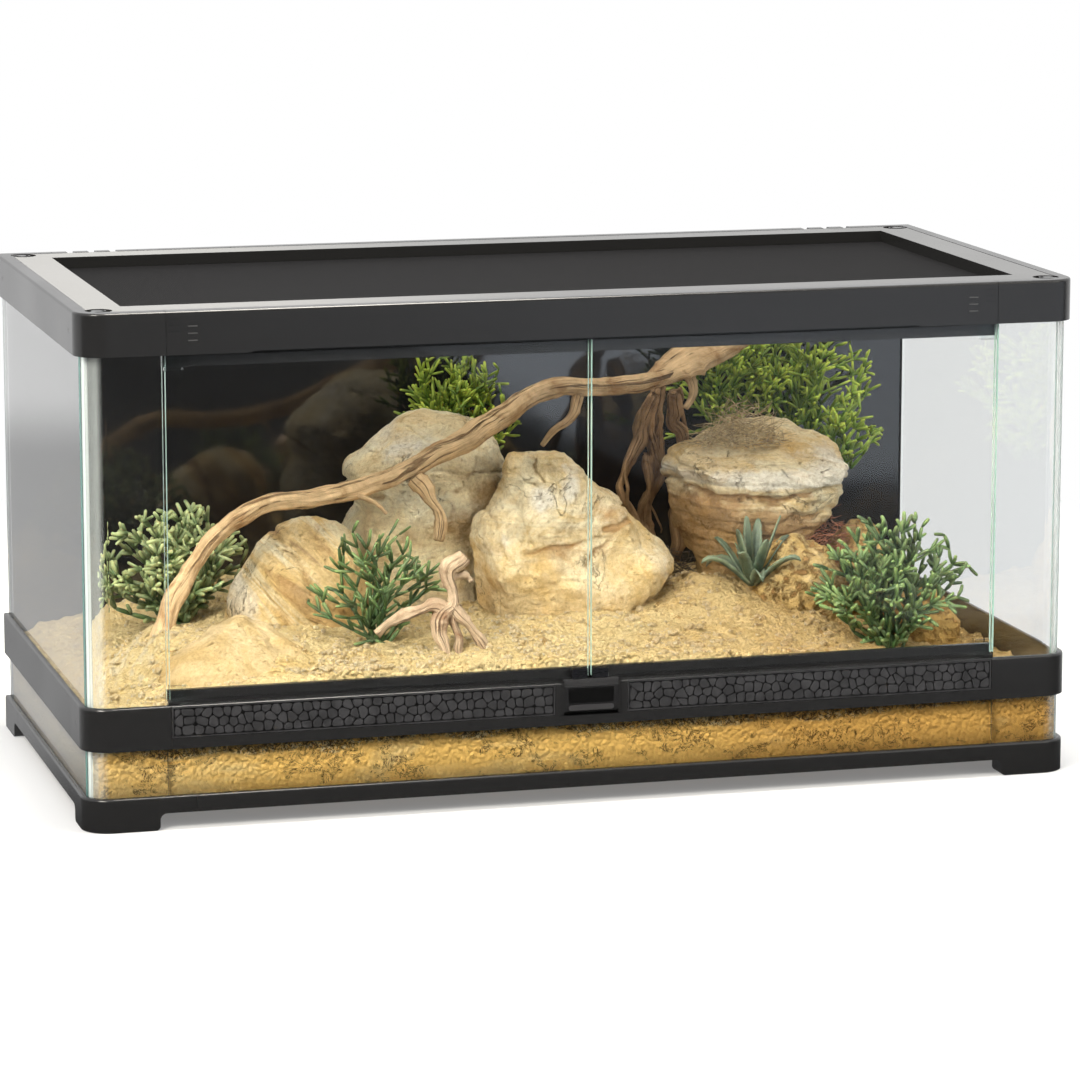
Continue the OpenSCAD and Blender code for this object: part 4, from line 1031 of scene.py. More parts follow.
@dataclass
class SandBed:
    """The bed of dry sand: piled up in the middle, with mounds, lumps and loose crumbs."""

    floor: float = 0.0239
    step: float = 0.0739
    low_front: float = -0.2144
    front: float = -0.2069
    back: float = 0.2121
    half_width: float = 0.4464
    corner: float = 0.0145
    level: float = 0.098
    pile_middle: float = -0.045
    pile_reach: float = 0.315
    pile_front: float = 0.026
    pile_back: float = 0.046
    drops: tuple[Point, ...] = ((0.014, 0.385, 0.012), (0.010, -0.425, -0.008))
    gap: float = 0.0002
    cells: tuple[int, int] = (400, 190)
    mounds: tuple[tuple[float, float, float, float, float], ...] = (
        (-0.300, -0.128, 0.030, 0.070, 0.050), (-0.362, -0.070, 0.034, 0.046, 0.060),
        (0.185, -0.020, 0.028, 0.075, 0.075), (-0.250, -0.020, 0.014, 0.070, 0.070),
        (0.030, -0.090, 0.010, 0.090, 0.050), (0.270, -0.060, 0.012, 0.080, 0.070),
        (-0.080, -0.160, 0.005, 0.090, 0.030))
    smooth_spot: tuple[float, float, float, float] = (-0.305, -0.140, 0.062, 0.050)
    crumbs: int = 3400
    crumb_corners: int = 12
    crumb_light: Colour = (0.88, 0.72, 0.46)
    seed: int = 11

    def height(self, x: float, y: float) -> float:
        """Height of the piled sand, without its lumps."""
        share = (y - self.front) / (self.back - self.front)
        pile = self.pile_front + (self.pile_back - self.pile_front) * max(0.0, share)
        level = self.level + pile * math.exp(
            -(abs(x - self.pile_middle) / self.pile_reach) ** 5)
        for drop, place, soft in self.drops:
            level -= drop / (1.0 + math.exp(-(x - place) / soft))
        for mx, my, rise, wide, deep in self.mounds:
            level += rise * math.exp(-((x - mx) / wide) ** 2 - ((y - my) / deep) ** 2)
        return level

    def lumpy(self, x: float, y: float) -> float:
        """Height of the sand with its ripples and lumps."""
        spot = Vector((x, y, 0.0))
        sx, sy, wide, deep = self.smooth_spot
        keep = 1.0 - 0.85 * math.exp(-((x - sx) / wide) ** 4 - ((y - sy) / deep) ** 4)
        wave = noise.fractal(spot * 22, 1.0, 2.0, 3)
        clods = noise.fractal(spot * 75 + Vector((4, 1, 0)), 0.8, 2.1, 4)
        crust = 1.0 - 2.0 * abs(noise.noise(spot * 48 + Vector((9, 2, 0))))
        bits = noise.noise(spot * 190 + Vector((2, 8, 0)))
        return (self.height(x, y) + 0.0035 * wave * (0.4 + 0.6 * keep)
                + keep * (0.0034 * clods + 0.0018 * crust + 0.0016 * bits))

    def build(self) -> None:
        """Builds the bed and its crumbs."""
        shape = bmesh.new()
        bmesh.ops.create_grid(shape, x_segments=self.cells[0], y_segments=self.cells[1], size=1.0)
        middle = (self.front + self.back) / 2
        reach = (self.back - self.front) / 2
        inner = self.half_width - self.gap
        radius = self.corner - (self.front - self.low_front)
        for vert in shape.verts:
            x, y = vert.co.x * inner, middle + vert.co.y * reach
            corner_x, corner_y = inner - radius, self.front + radius
            if abs(x) > corner_x and y < corner_y:
                away = Vector((abs(x) - corner_x, y - corner_y))
                square = max(away.x, -away.y)
                away = away.normalized() * square if away.length else away
                x, y = math.copysign(corner_x + away.x, x), corner_y + away.y
            vert.co = (x, y, self.lumpy(x, y))
        rim = [e for e in shape.edges if e.is_boundary]
        for level, out in ((self.step, False), (self.step - self.gap, True), (self.floor, True)):
            grown = bmesh.ops.extrude_edge_only(shape, edges=rim)["geom"]
            verts = [v for v in grown if isinstance(v, bmesh.types.BMVert)]
            rim = [e for e in grown if isinstance(e, bmesh.types.BMEdge)
                   and all(v in verts for v in e.verts)]
            for vert in verts:
                vert.co.z = level
                if out and level == self.step - self.gap and vert.co.y < self.front + radius:
                    share = (self.front + radius - vert.co.y) / radius
                    vert.co.y -= (self.front - self.low_front) * min(1.0, share)
        bmesh.ops.contextual_create(shape, geom=rim)
        bmesh.ops.recalc_face_normals(shape, faces=shape.faces)
        Piece.make("loose_sand", shape, DrySand().build(), "tank", "sand", ["sand_bed"])
        self.scatter()

    def scatter(self) -> None:
        """Strews small crumbs of sandstone over the bed."""
        rng = random.Random(self.seed)
        shape = bmesh.new()
        while len(shape.verts) < self.crumb_corners * self.crumbs:
            x = rng.uniform(-self.half_width + 0.012, self.half_width - 0.012)
            y = self.front + 0.008 + (self.back - self.front - 0.02) * rng.random() ** 1.6
            if noise.noise(Vector((x, y, 0.0)) * 16) < rng.uniform(-0.5, 0.4):
                continue
            size = 0.0012 + 0.0036 * rng.random() ** 3
            crumb = bmesh.new()
            made = bmesh.ops.create_icosphere(crumb, subdivisions=1, radius=size)["verts"]
            spin = Matrix.Rotation(rng.uniform(0, 6.28), 3, "Z")
            stretch = Vector((rng.uniform(0.8, 1.5), rng.uniform(0.7, 1.1), rng.uniform(0.5, 0.9)))
            middle = Vector((x, y, self.lumpy(x, y) + size * 0.2))
            for vert in made:
                grow = 1.0 + 0.25 * noise.noise(vert.co * 900 + middle * 40)
                vert.co = spin @ (vert.co * stretch * grow) + middle
            Piece.pour(crumb, shape)
        Piece.make("sand_crumbs", shape, DrySand(light=self.crumb_light).build(), "tank",
                   "sand", smooth=False)


@dataclass
class Rock:
    """A boulder built level by level, then chipped flat, cracked and worn."""

    name: str
    finish: Sandstone
    levels: Sequence[tuple[float, float, float, float, float]]
    # x, z, width, height and amount of each mark: brown patches and painted shade above 0, pale
    # patches and painted light below 0
    marks: Sequence[tuple[float, float, float, float, float]] = ()
    grooves: Sequence[tuple[float, float, float, float, float, float]] = ()
    lobes: Sequence[tuple[float, float, float, float, float]] = ()
    seed: int = 1
    flats: int = 16
    chip: float = 0.12
    rough: float = 0.006
    strata: float = 0.0
    pitch: float = 0.013
    dip: float = 0.16
    boxy: float = 2.6
    uneven: float = 0.10
    crown: float = 0.006
    cells: tuple[int, int] = (200, 12)
    caps: int = 14

    def rows(self) -> list[tuple[Vector, float]]:
        """The rock's levels from its foot to its crown, each with its share of the full reach."""
        curve = smooth_path(metres(self.levels), self.cells[1])
        close = [math.sin(math.pi / 2 * k / self.caps) for k in range(self.caps)]
        crowned = []
        for share in reversed(close):
            top = curve[-1].copy()
            top[0] += self.crown * (1 - share * share)
            crowned.append((top, share))
        return [(curve[0], share) for share in close] + [(c, 1.0) for c in curve] + crowned

    def shape_into(self, shape: bmesh.types.BMesh) -> None:
        """Adds the boulder to a mesh."""
        stone = bmesh.new()
        tone = stone.verts.layers.float.new("tone")
        rows = self.rows()
        bmesh.ops.create_grid(stone, x_segments=self.cells[0], y_segments=len(rows) - 1, size=1.0)
        power = 2.0 / self.boxy
        for vert in stone.verts:
            angle = math.pi * vert.co.x
            level, share = rows[round((vert.co.y + 1) / 2 * (len(rows) - 1))]
            z, left, right, front, back = level
            c, d = math.cos(angle), math.sin(angle)
            spot = Vector((1.2 * c + self.seed, 1.2 * d, 14 * z))
            share *= 1.0 + self.uneven * noise.fractal(spot, 0.9, 2.0, 3)
            vert.co = ((left + right) / 2
                       + (right - left) / 2 * share * math.copysign(abs(c) ** power, c),
                       (front + back) / 2
                       + (back - front) / 2 * share * math.copysign(abs(d) ** power, d), z)
        bmesh.ops.remove_doubles(stone, verts=stone.verts[:], dist=1e-6)
        bmesh.ops.recalc_face_normals(stone, faces=stone.faces[:])
        self.chisel(stone)
        stone.normal_update()
        moves = [self.push(vert) for vert in stone.verts]
        for vert, move in zip(stone.verts, moves):
            vert.co += vert.normal * move
            vert[tone] = self.tone(vert.co)
        Piece.pour(stone, shape)

    def chisel(self, stone: bmesh.types.BMesh) -> None:
        """Cuts flat faces into the stone."""
        rng = random.Random(self.seed)
        low = Vector(min(v.co[i] for v in stone.verts) for i in range(3))
        high = Vector(max(v.co[i] for v in stone.verts) for i in range(3))
        middle, half = (low + high) / 2, (high - low) / 2
        planes = []
        for _ in range(self.flats):
            normal = Vector((rng.gauss(0, 1), rng.gauss(-0.4, 0.9), rng.gauss(0.2, 0.8)))
            planes.append((normal.normalized(), rng.uniform(1.0 - self.chip, 1.08)))
        for vert in stone.verts:
            spot = vert.co - middle
            inner = Vector(spot[i] / half[i] for i in range(3))
            for normal, reach in planes:
                over = inner.dot(normal) - reach
                if over > 0:
                    inner -= normal * over * 0.9
            vert.co = middle + Vector(inner[i] * half[i] for i in range(3))

    def push(self, vert: bmesh.types.BMVert) -> float:
        """How far one point of the stone moves along its normal."""
        spot = vert.co + Vector((self.seed * 0.37, 0, 0))
        big = noise.fractal(spot * 13, 0.9, 2.0, 5)
        ridge = 1 - 2 * abs(noise.noise(spot * 24 + Vector((3, 7, 1))))
        fine = noise.fractal(spot * 80, 0.7, 2.1, 4)
        if self.finish.kind is StoneKind.ROUGH:
            fine -= 2.2 * max(0.0, noise.noise(spot * 95) - 0.05)
        move = self.rough * (0.8 * big + 0.45 * ridge + 0.22 * fine)
        if self.strata:
            bent = vert.co.z + self.dip * vert.co.x + 0.010 * noise.noise(spot * 10)
            step = bent / self.pitch
            layer = math.floor(step)
            saw = step - layer
            keep = noise.noise(Vector((layer * 3.1, self.seed, spot.x * 6)))
            move += self.strata * (keep + 0.6 * min(1.0, saw * 4) * (1 - saw) ** 0.5 - 0.2)
        for x, y, z, reach, rise in self.lobes:
            away = (vert.co - Vector((x, y, z)) / MM).length * MM / reach
            move += rise / MM * math.exp(-away ** 4)
        if vert.co.y < self.levels[0][4] / MM:
            move -= self.crevices(vert.co)
        return move

    def crevices(self, spot: Vector) -> float:
        """Depth of the cracks at one point of the front."""
        bend = noise.noise_vector(spot * 38) * 0.007 + noise.noise_vector(spot * 120) * 0.002
        here = Vector((spot.x + bend.x, spot.z + bend.z)) * MM
        depth = 0.0
        for x0, z0, x1, z1, wide, deep in self.grooves:
            start, run = Vector((x0, z0)), Vector((x1 - x0, z1 - z0))
            along = max(0.0, min(1.0, (here - start).dot(run) / run.length_squared))
            away = (here - start - run * along).length / wide
            depth = max(depth, deep / MM * math.exp(-away * away))
        return depth

    def tone(self, spot: Vector) -> float:
        """Brown above 0 and pale below 0, from the marks, which are partly painted shade and
        light, and from the cracks, which add painted shade.
        """
        total = 0.0
        for x, z, wide, high, amount in self.marks:
            total += amount * math.exp(-((spot.x * MM - x) / wide) ** 2
                                       - ((spot.z * MM - z) / high) ** 2)
        # painted shade: the cracks turn brown
        return total + 0.5 * self.crevices(spot) / 0.004

    def build(self, nodes: Sequence[str] = ()) -> None:
        """Builds the boulder as a piece, which may stand for CAD nodes."""
        shape = bmesh.new()
        self.shape_into(shape)
        Piece.make(self.name, shape, self.finish.build(), "tank", "stone", nodes)


@dataclass
class RockGroup:
    """The boulders: one striped, one domed, one sloping, one layered ledge and small ones.

    Every level is a height and a reach to the left, right, front and back, in millimetres.
    """

    def build(self) -> None:
        """Builds every boulder."""
        self.striped()
        self.domed()
        self.sloping()
        self.ledge()
        self.small()

    def striped(self) -> None:
        """Builds the low boulder with diagonal streaks at the left."""
        Rock("striped_boulder",
             Sandstone(StoneKind.STRIPED, layer_scale=48.0, stain_share=0.2, band_share=0.75,
                       tilt=(0.0, 0.80, 0.0)),
             [(95, -290, -146, -60, 50), (130, -285, -150, -58, 50), (150, -280, -154, -54, 48),
              (170, -271, -156, -50, 46), (190, -258, -158, -44, 44), (206, -247, -162, -34, 40),
              (217, -236, -172, -24, 34), (224, -222, -186, -10, 24)],
             marks=[(-276, 160, 16, 34, -0.9), (-220, 168, 12, 40, 0.35),
                    (-180, 190, 20, 20, 0.3)],
             grooves=[(-236, 218, -214, 168, 3.5, 3.0), (-214, 168, -178, 138, 3.5, 3.0),
                      (-204, 224, -186, 176, 3.0, 2.5), (-262, 176, -240, 140, 5.0, 4.0)],
             seed=3, flats=8, chip=0.08, rough=0.004).build(["striped_rock"])

    def domed(self) -> None:
        """Builds the pale dome behind the branch."""
        Rock("domed_boulder",
             Sandstone(StoneKind.PALE, light=(0.97, 0.84, 0.55), bright=(1.0, 0.94, 0.72),
                       warm=(0.84, 0.64, 0.35), stain_share=0.2),
             [(95, -150, -22, 20, 130), (150, -152, -26, 18, 132), (190, -154, -28, 16, 134),
              (206, -151, -26, 14, 134), (216, -147, -10, 12, 134), (228, -142, -2, 12, 134),
              (246, -149, 3, 14, 134), (261, -150, 2, 18, 132), (276, -133, -8, 24, 128),
              (290, -118, -19, 32, 122), (300, -107, -31, 42, 114), (306, -98, -42, 54, 104)],
             # the brown marks at the lower right are painted shade, and the pale ones at the upper
             # left painted light
             marks=[(-30, 236, 36, 28, 0.55), (-70, 214, 50, 16, 0.45), (-104, 288, 44, 26, -0.6),
                    (-120, 232, 20, 16, -0.3)],
             grooves=[(-84, 264, -12, 256, 1.4, 2.2), (-46, 206, -18, 232, 1.8, 3.5),
                      (-60, 246, -66, 214, 1.2, 1.6), (-150, 246, -128, 238, 2.4, 5.0),
                      (-96, 300, -70, 286, 1.1, 1.2), (-30, 288, -44, 262, 1.1, 1.4)],
             seed=5, flats=12, chip=0.10, rough=0.0045, boxy=2.8).build(["dome_rock"])

    def sloping(self) -> None:
        """Builds the fissured boulder with its long right-hand slope."""
        Rock("sloping_boulder",
             Sandstone(StoneKind.OCHRE, stain_share=0.35),
             [(95, -62, 152, -74, 40), (130, -57, 147, -72, 40), (158, -53, 141, -68, 40),
              (184, -50, 127, -62, 40), (204, -47, 112, -56, 38), (222, -40, 99, -50, 36),
              (238, -27, 84, -44, 34), (252, -21, 64, -38, 32), (265, -19, 50, -34, 28),
              (278, -15, 38, -30, 24), (290, -9, 28, -24, 18), (298, -2, 20, -18, 10)],
             marks=[(6, 244, 16, 14, -1.0), (34, 254, 12, 24, -0.8), (-32, 206, 12, 12, -0.8),
                    (112, 176, 22, 18, -0.6), (62, 226, 26, 14, 0.45), (26, 196, 50, 9, 0.4),
                    (40, 136, 80, 22, 0.45), (-40, 160, 12, 40, 0.4), (134, 150, 10, 20, 0.4)],
             grooves=[(0, 290, 7, 260, 1.5, 3.6), (16, 276, 20, 252, 1.3, 2.4),
                      (-14, 268, 0, 258, 1.5, 2.2), (-14, 199, 30, 203, 1.8, 3.6),
                      (30, 203, 62, 212, 1.6, 3.2), (20, 208, 34, 236, 1.4, 2.4),
                      (60, 216, 96, 230, 2.2, 4.4), (44, 182, 64, 210, 3.0, 3.4),
                      (-38, 232, -28, 190, 1.5, 2.8), (98, 176, 104, 136, 1.8, 2.6),
                      (122, 176, 126, 136, 1.8, 2.8), (-16, 240, -6, 206, 1.3, 2.0)],
             lobes=[(112, -62, 166, 26, 9), (76, -52, 222, 20, 6), (4, -44, 232, 24, 5)],
             seed=8, flats=30, chip=0.2, rough=0.0065, boxy=2.3,
             uneven=0.12, crown=0.003).build(["sloping_rock"])

    def ledge(self) -> None:
        """Builds the layered ledge: a flat top over an undercut, narrow foot."""
        Rock("ledge_boulder",
             Sandstone(StoneKind.LAYERED, layer_scale=85.0, stain_share=0.3, band_share=0.35,
                       tilt=(0.0, 0.06, 0.0)),
             [(95, 192, 246, -16, 105), (150, 190, 246, -16, 105), (168, 184, 260, -22, 110),
              (186, 177, 280, -28, 112), (203, 170, 297, -34, 114), (219, 164, 311, -40, 116),
              (235, 160, 321, -43, 118), (247, 158, 327, -43, 118), (255, 157, 329, -36, 118),
              (261, 161, 326, -14, 118), (268, 172, 318, 12, 118), (274, 192, 306, 36, 114),
              (280, 212, 294, 58, 108), (285, 230, 284, 74, 100)],
             # the pale mark along the rim is painted light, and the brown ones under it painted
             # shade
             marks=[(240, 249, 120, 10, -1.3), (166, 206, 34, 28, 1.4), (200, 168, 56, 24, 1.5),
                    (240, 206, 70, 18, 1.0), (290, 190, 30, 16, 0.6), (290, 216, 40, 10, -0.5),
                    (300, 266, 36, 10, -0.6)],
             grooves=[(158, 242, 200, 233, 3.2, 5.5), (200, 233, 262, 236, 3.4, 7.0),
                      (258, 236, 322, 242, 3.0, 6.0), (236, 214, 316, 222, 1.8, 3.0),
                      (204, 196, 286, 206, 1.8, 2.8), (212, 178, 268, 188, 1.6, 2.5),
                      (262, 268, 274, 252, 1.8, 2.5), (176, 214, 182, 186, 1.6, 2.0)],
             seed=12, flats=0, rough=0.0060, strata=0.0030, pitch=0.0120,
             boxy=2.3, uneven=0.16, crown=0.003).build(["ledge_rock"])

    def small(self) -> None:
        """Builds the half-buried slab at the left, and the porous stones at the right."""
        Rock("buried_slab",
             Sandstone(StoneKind.SMOOTH, light=(0.68, 0.51, 0.27), bright=(0.78, 0.63, 0.39),
                       warm=(0.64, 0.44, 0.19), stain_share=0.1, band_share=0.0, veins=0.1),
             [(96, -382, -226, -196, -88), (118, -377, -230, -189, -90),
              (133, -364, -241, -178, -92), (146, -345, -256, -162, -96),
              (156, -326, -272, -146, -100), (161, -312, -286, -134, -106)],
             seed=23, flats=6, chip=0.05, rough=0.004, boxy=2.1, uneven=0.2).build()
        ochre = Sandstone(StoneKind.ROUGH, light=(0.72, 0.50, 0.20), bright=(0.82, 0.65, 0.34),
                          warm=(0.60, 0.36, 0.10), stain_share=0.5)
        stones = (
            Rock("porous", ochre,
                 [(92, 204, 300, -80, -6), (128, 208, 298, -78, -6), (150, 212, 293, -74, -8),
                  (166, 217, 288, -68, -12), (178, 227, 280, -60, -18), (187, 240, 270, -50, -28)],
                 marks=[(250, 165, 30, 20, -0.3)], seed=17, flats=18, chip=0.2, rough=0.013),
            Rock("rear", ochre,
                 [(92, 300, 380, -28, 60), (150, 305, 372, -26, 55), (174, 310, 358, -20, 48),
                  (190, 318, 346, -10, 40)], seed=21, flats=16, chip=0.2, rough=0.008),
            Rock("front", ochre,
                 [(90, 344, 410, -104, -20), (114, 348, 405, -98, -25), (130, 354, 398, -88, -34),
                  (141, 362, 388, -74, -46)],
                 seed=24, flats=14, chip=0.2, rough=0.007))
        shape = bmesh.new()
        for stone in stones:
            stone.shape_into(shape)
        Piece.make("small_boulders", shape, ochre.build(), "tank", "stone", ["small_rocks"])


@dataclass
class Driftwood:
    """The long branch, the hanging roots and the small forked root."""

    seed: int = 4
    knots: tuple[float, ...] = (0.13, 0.27, 0.39, 0.60, 0.74)

    def limb(self, shape: bmesh.types.BMesh, route: Sequence[Point],
             thick: Callable[[float], float], sides: int = 24, steps: int = 12,
             wander: float = 0.003, gnarl: float = 0.22, flat: float = 1.0) -> None:
        """Adds one gnarled limb.

        Args:
            shape: Mesh that receives it.
            route: Points of its middle line, in millimetres.
            thick: Radius along its length.
            sides: Corners of its section.
            steps: Rings between two points.
            wander: How far its middle line strays.
            gnarl: Depth of its furrows over its radius.
            flat: Thickness of its section over its width.
        """
        path = smooth_path(metres(route), steps)
        seed = Vector((self.seed + len(path), 3.7, route[0][0] / MM * 9))
        for point in path:
            point += wander * noise.noise_vector(point * 22 + seed)
            point += wander * 0.35 * noise.noise_vector(point * 70 + seed)
        length = sum((b - a).length for a, b in zip(path, path[1:]))

        def radius(share: float, angle: float) -> float:
            """Radius with furrows that run along the limb and swellings at its knots."""
            twist = angle + share * length * 9
            around = Vector((math.cos(twist) * 1.6, math.sin(twist) * 1.6,
                             share * length * 16)) + seed
            furrow = noise.fractal(around, 0.75, 2.1, 4)
            swell = noise.noise(Vector((share * length * 34, seed.x, 1.0)))
            bulge = sum(math.exp(-((share - knot) / 0.016) ** 2) for knot in self.knots)
            lean = 0.5 + 0.5 * math.cos(angle + share * 9)
            return thick(share) * (1 + gnarl * furrow + 0.12 * swell + 0.20 * bulge * lean)

        sweep(shape, path, radius, sides, flat=flat)

    def build(self) -> None:
        """Builds the three pieces of wood."""
        self.branch()
        self.hanging()
        self.forked()

    def branch(self) -> None:
        """Builds the long branch with its twigs and its torn end."""
        shape = bmesh.new()
        route = [(-380, -98, 96), (-362, -81, 146), (-341, -66, 182), (-318, -56, 214),
                 (-284, -50, 241), (-246, -40, 252), (-206, -26, 251), (-166, -16, 257),
                 (-120, -10, 268), (-84, -4, 284), (-52, 2, 299), (-22, 10, 316), (8, 20, 330),
                 (40, 30, 336), (78, 40, 335), (112, 50, 333), (146, 56, 337), (180, 62, 348),
                 (208, 68, 360)]

        def thick(share: float) -> float:
            """Radius of the branch: stout foot, slim middle, thicker crook."""
            foot = 0.0030 * math.exp(-(share / 0.10) ** 2)
            crook = 0.0026 * math.exp(-((share - 0.62) / 0.13) ** 2)
            close = min(1.0, (1.0 - share) / 0.06 + 0.2, share / 0.012 + 0.5)
            return (0.0080 + foot + crook) * close

        self.limb(shape, route, thick, sides=36, steps=12, wander=0.0032)
        self.limb(shape, [(140, 58, 334), (164, 62, 348), (194, 68, 360), (224, 74, 370),
                          (252, 80, 378)],
                  lambda t: 0.0185 * math.sin(math.pi * (0.10 + 0.83 * t)) ** 0.6, sides=36,
                  steps=16, wander=0.002, gnarl=0.14, flat=0.42)
        self.limb(shape, [(62, 36, 330), (52, 30, 308), (34, 26, 296), (22, 22, 284)],
                  lambda t: 0.0058 * (1 - 0.62 * t), sides=18, steps=10)
        self.limb(shape, [(-112, -12, 266), (-100, -20, 250), (-88, -24, 232), (-94, -30, 208)],
                  lambda t: 0.0078 * (1 - 0.45 * t) * (1 + 0.25 * math.sin(9 * t)),
                  sides=20, steps=12, wander=0.005)
        self.limb(shape, [(178, 62, 340), (182, 58, 322), (172, 54, 309)],
                  lambda t: 0.0052 * (1 - 0.4 * t), sides=16, steps=8)
        self.limb(shape, [(-166, -24, 252), (-150, -34, 246), (-142, -40, 236)],
                  lambda t: 0.0030 * (1 - 0.5 * t), sides=12, steps=6)
        Piece.make("long_branch", shape, WeatheredWood("branch_wood").build(), "tank",
                   "driftwood", ["driftwood_branch"])

    def hanging(self) -> None:
        """Builds the tangle of roots that hangs behind the branch."""
        shape = bmesh.new()
        rng = random.Random(self.seed)
        strands = [([(156, 96, 320), (140, 98, 284), (127, 96, 248), (123, 94, 224),
                     (133, 94, 200), (136, 92, 150)], 0.0064),
                   ([(160, 102, 326), (158, 104, 276), (163, 104, 236), (154, 106, 214),
                     (147, 104, 186), (150, 104, 140)], 0.0088),
                   ([(174, 106, 320), (178, 110, 292), (189, 112, 268), (184, 112, 226),
                     (178, 112, 150)], 0.0062),
                   ([(146, 98, 262), (150, 96, 232), (142, 94, 206), (146, 92, 176)], 0.0040)]
        for route, r in strands:
            self.limb(shape, route, lambda t, r=r: r * (0.85 + 0.3 * math.sin(9 * t)),
                      sides=20, steps=12, wander=0.008, gnarl=0.4)
            shift = Vector((rng.uniform(-8, 8), rng.uniform(-7, 4), 0))
            thin = [tuple(Vector(p) + shift * rng.uniform(0.6, 1.4)) for p in route]
            self.limb(shape, thin, lambda t, r=r: r * 0.36 * (1 - 0.4 * t), sides=10, steps=10,
                      wander=0.011, gnarl=0.35)
        wood = WeatheredWood("root_wood", (0.46, 0.29, 0.15), (0.25, 0.14, 0.065),
                             (0.06, 0.03, 0.014))
        Piece.make("root_tangle", shape, wood.build(), "tank", "driftwood", ["hanging_roots"])

    def forked(self) -> None:
        """Builds the small pale root that stands in front."""
        shape = bmesh.new()
        routes = [
            ([(-96, -135, 212), (-110, -138, 204), (-106, -140, 186), (-108, -146, 170),
              (-118, -151, 154), (-117, -157, 134), (-122, -162, 110)], 0.0078),
            ([(-108, -144, 170), (-96, -146, 154), (-78, -150, 136), (-62, -154, 114)], 0.0056),
            ([(-110, -146, 162), (-128, -148, 172), (-142, -149, 166), (-158, -150, 160),
              (-176, -151, 148)], 0.0062),
            ([(-106, -143, 172), (-102, -150, 144), (-102, -157, 110)], 0.0046),
            ([(-106, -140, 194), (-94, -138, 196), (-88, -136, 190)], 0.0042)]
        for route, r in routes:
            self.limb(shape, route,
                      lambda t, r=r: r * (1 - 0.42 * t) * (1 + 0.22 * math.sin(13 * t)),
                      sides=20, steps=12, wander=0.006, gnarl=0.38)
        wood = WeatheredWood("pale_root_wood", (0.62, 0.46, 0.31), (0.36, 0.21, 0.12),
                             (0.12, 0.06, 0.035))
        Piece.make("forked_root", shape, wood.build(), "tank", "driftwood", ["front_root"])


@dataclass
class CoralPlant:
    """A branching jointed succulent: short round links that fork towards pale tips."""

    name: str
    roots: Sequence[Point]
    reach: Point
    skin: PlantSkin
    seed: int = 1
    stems: int = 16
    link: float = 0.017
    thick: float = 0.0021
    forks: int = 2
    spread: float = 1.0
    lift: float = 0.03
    sides: Sequence[int] = (1, 2, 2, 3)
    nodes: tuple[str, ...] = ()

    def build(self) -> None:
        """Builds the plant."""
        shape = bmesh.new()
        rng = random.Random(self.seed)
        for root in self.roots:
            base = Vector(root)
            for k in range(self.stems):
                turn = GOLDEN_ANGLE * k + rng.uniform(-0.5, 0.5)
                lean = self.spread * math.sqrt((k + 0.6) / self.stems)
                heading = Vector((math.cos(turn) * lean * self.reach[0],
                                  math.sin(turn) * lean * self.reach[1],
                                  self.reach[2] * (1.15 - 0.85 * lean * lean))).normalized()
                start = base + Vector((rng.uniform(-0.012, 0.012), rng.uniform(-0.010, 0.010), 0))
                self.arm(shape, rng, base, start, heading, self.forks)
        Piece.make(self.name, shape, self.skin.build(), "tank", "leaf", self.nodes)

    def inside(self, base: Vector, point: Vector) -> bool:
        """Whether a point is within the plant's reach of its root."""
        away = point - base
        return (away.x / self.reach[0]) ** 2 + (away.y / self.reach[1]) ** 2 + (
            max(0.0, away.z) / self.reach[2]) ** 2 < 1.0 and away.z > -0.004

    def arm(self, shape: bmesh.types.BMesh, rng: random.Random, base: Vector, here: Vector,
            heading: Vector, left: int) -> None:
        """Adds a chain of links with short side links, and the arms that fork from its end.

        Args:
            shape: Mesh that receives it.
            rng: Source of chance.
            base: The plant's root.
            here: Where the arm starts.
            heading: Its direction.
            left: Forks still to come.
        """
        age = 1.0 - left / (self.forks + 1)
        for _ in range(rng.randint(2, 3)):
            wander = Vector((rng.gauss(0, 0.13), rng.gauss(0, 0.13), rng.gauss(self.lift, 0.08)))
            heading = (heading + wander).normalized()
            end = here + heading * self.link * rng.uniform(0.75, 1.2)
            if not self.inside(base, end):
                return
            self.joint(shape, rng, here, end, age)
            here = end
            for _ in range(rng.choice(self.sides)):
                tip = here + self.turned(rng, heading) * self.link * rng.uniform(0.55, 1.0)
                if self.inside(base, tip):
                    self.joint(shape, rng, here, tip, min(1.0, age + 0.35))
        if left:
            for _ in range(2):
                self.arm(shape, rng, base, here, self.turned(rng, heading), left - 1)

    def turned(self, rng: random.Random, heading: Vector) -> Vector:
        """Returns a direction that forks from another at 30 to 55 degrees."""
        away = Vector((rng.gauss(0, 1), rng.gauss(0, 1), rng.gauss(0.2, 0.8)))
        away -= heading * away.dot(heading)
        angle = math.radians(rng.uniform(30, 55))
        return heading * math.cos(angle) + away.normalized() * math.sin(angle)

    def joint(self, shape: bmesh.types.BMesh, rng: random.Random, start: Vector, end: Vector,
              age: float) -> None:
        """Adds one link, thickest in its middle and palest at its end."""
        thick = self.thick * rng.uniform(0.8, 1.1) * (1.12 - 0.25 * age)
        tone = rng.uniform(-0.15, 0.15)
        middle = (start + end) / 2 + Vector((rng.gauss(0, 1), rng.gauss(0, 1), 0)) * 0.0006
        path = [start, start.lerp(middle, 0.4), middle, middle.lerp(end, 0.55),
                middle.lerp(end, 0.88), end]
        sweep(shape, path,
              lambda t, a: thick * (0.62 + 0.42 * math.sin(math.pi * (0.08 + 0.80 * t)))
              * (0.42 if t > 0.99 else 1.0), 6,
              lambda t: max(0.0, min(1.0, 0.30 * age + tone + t * t * (0.15 + 0.55 * age))))


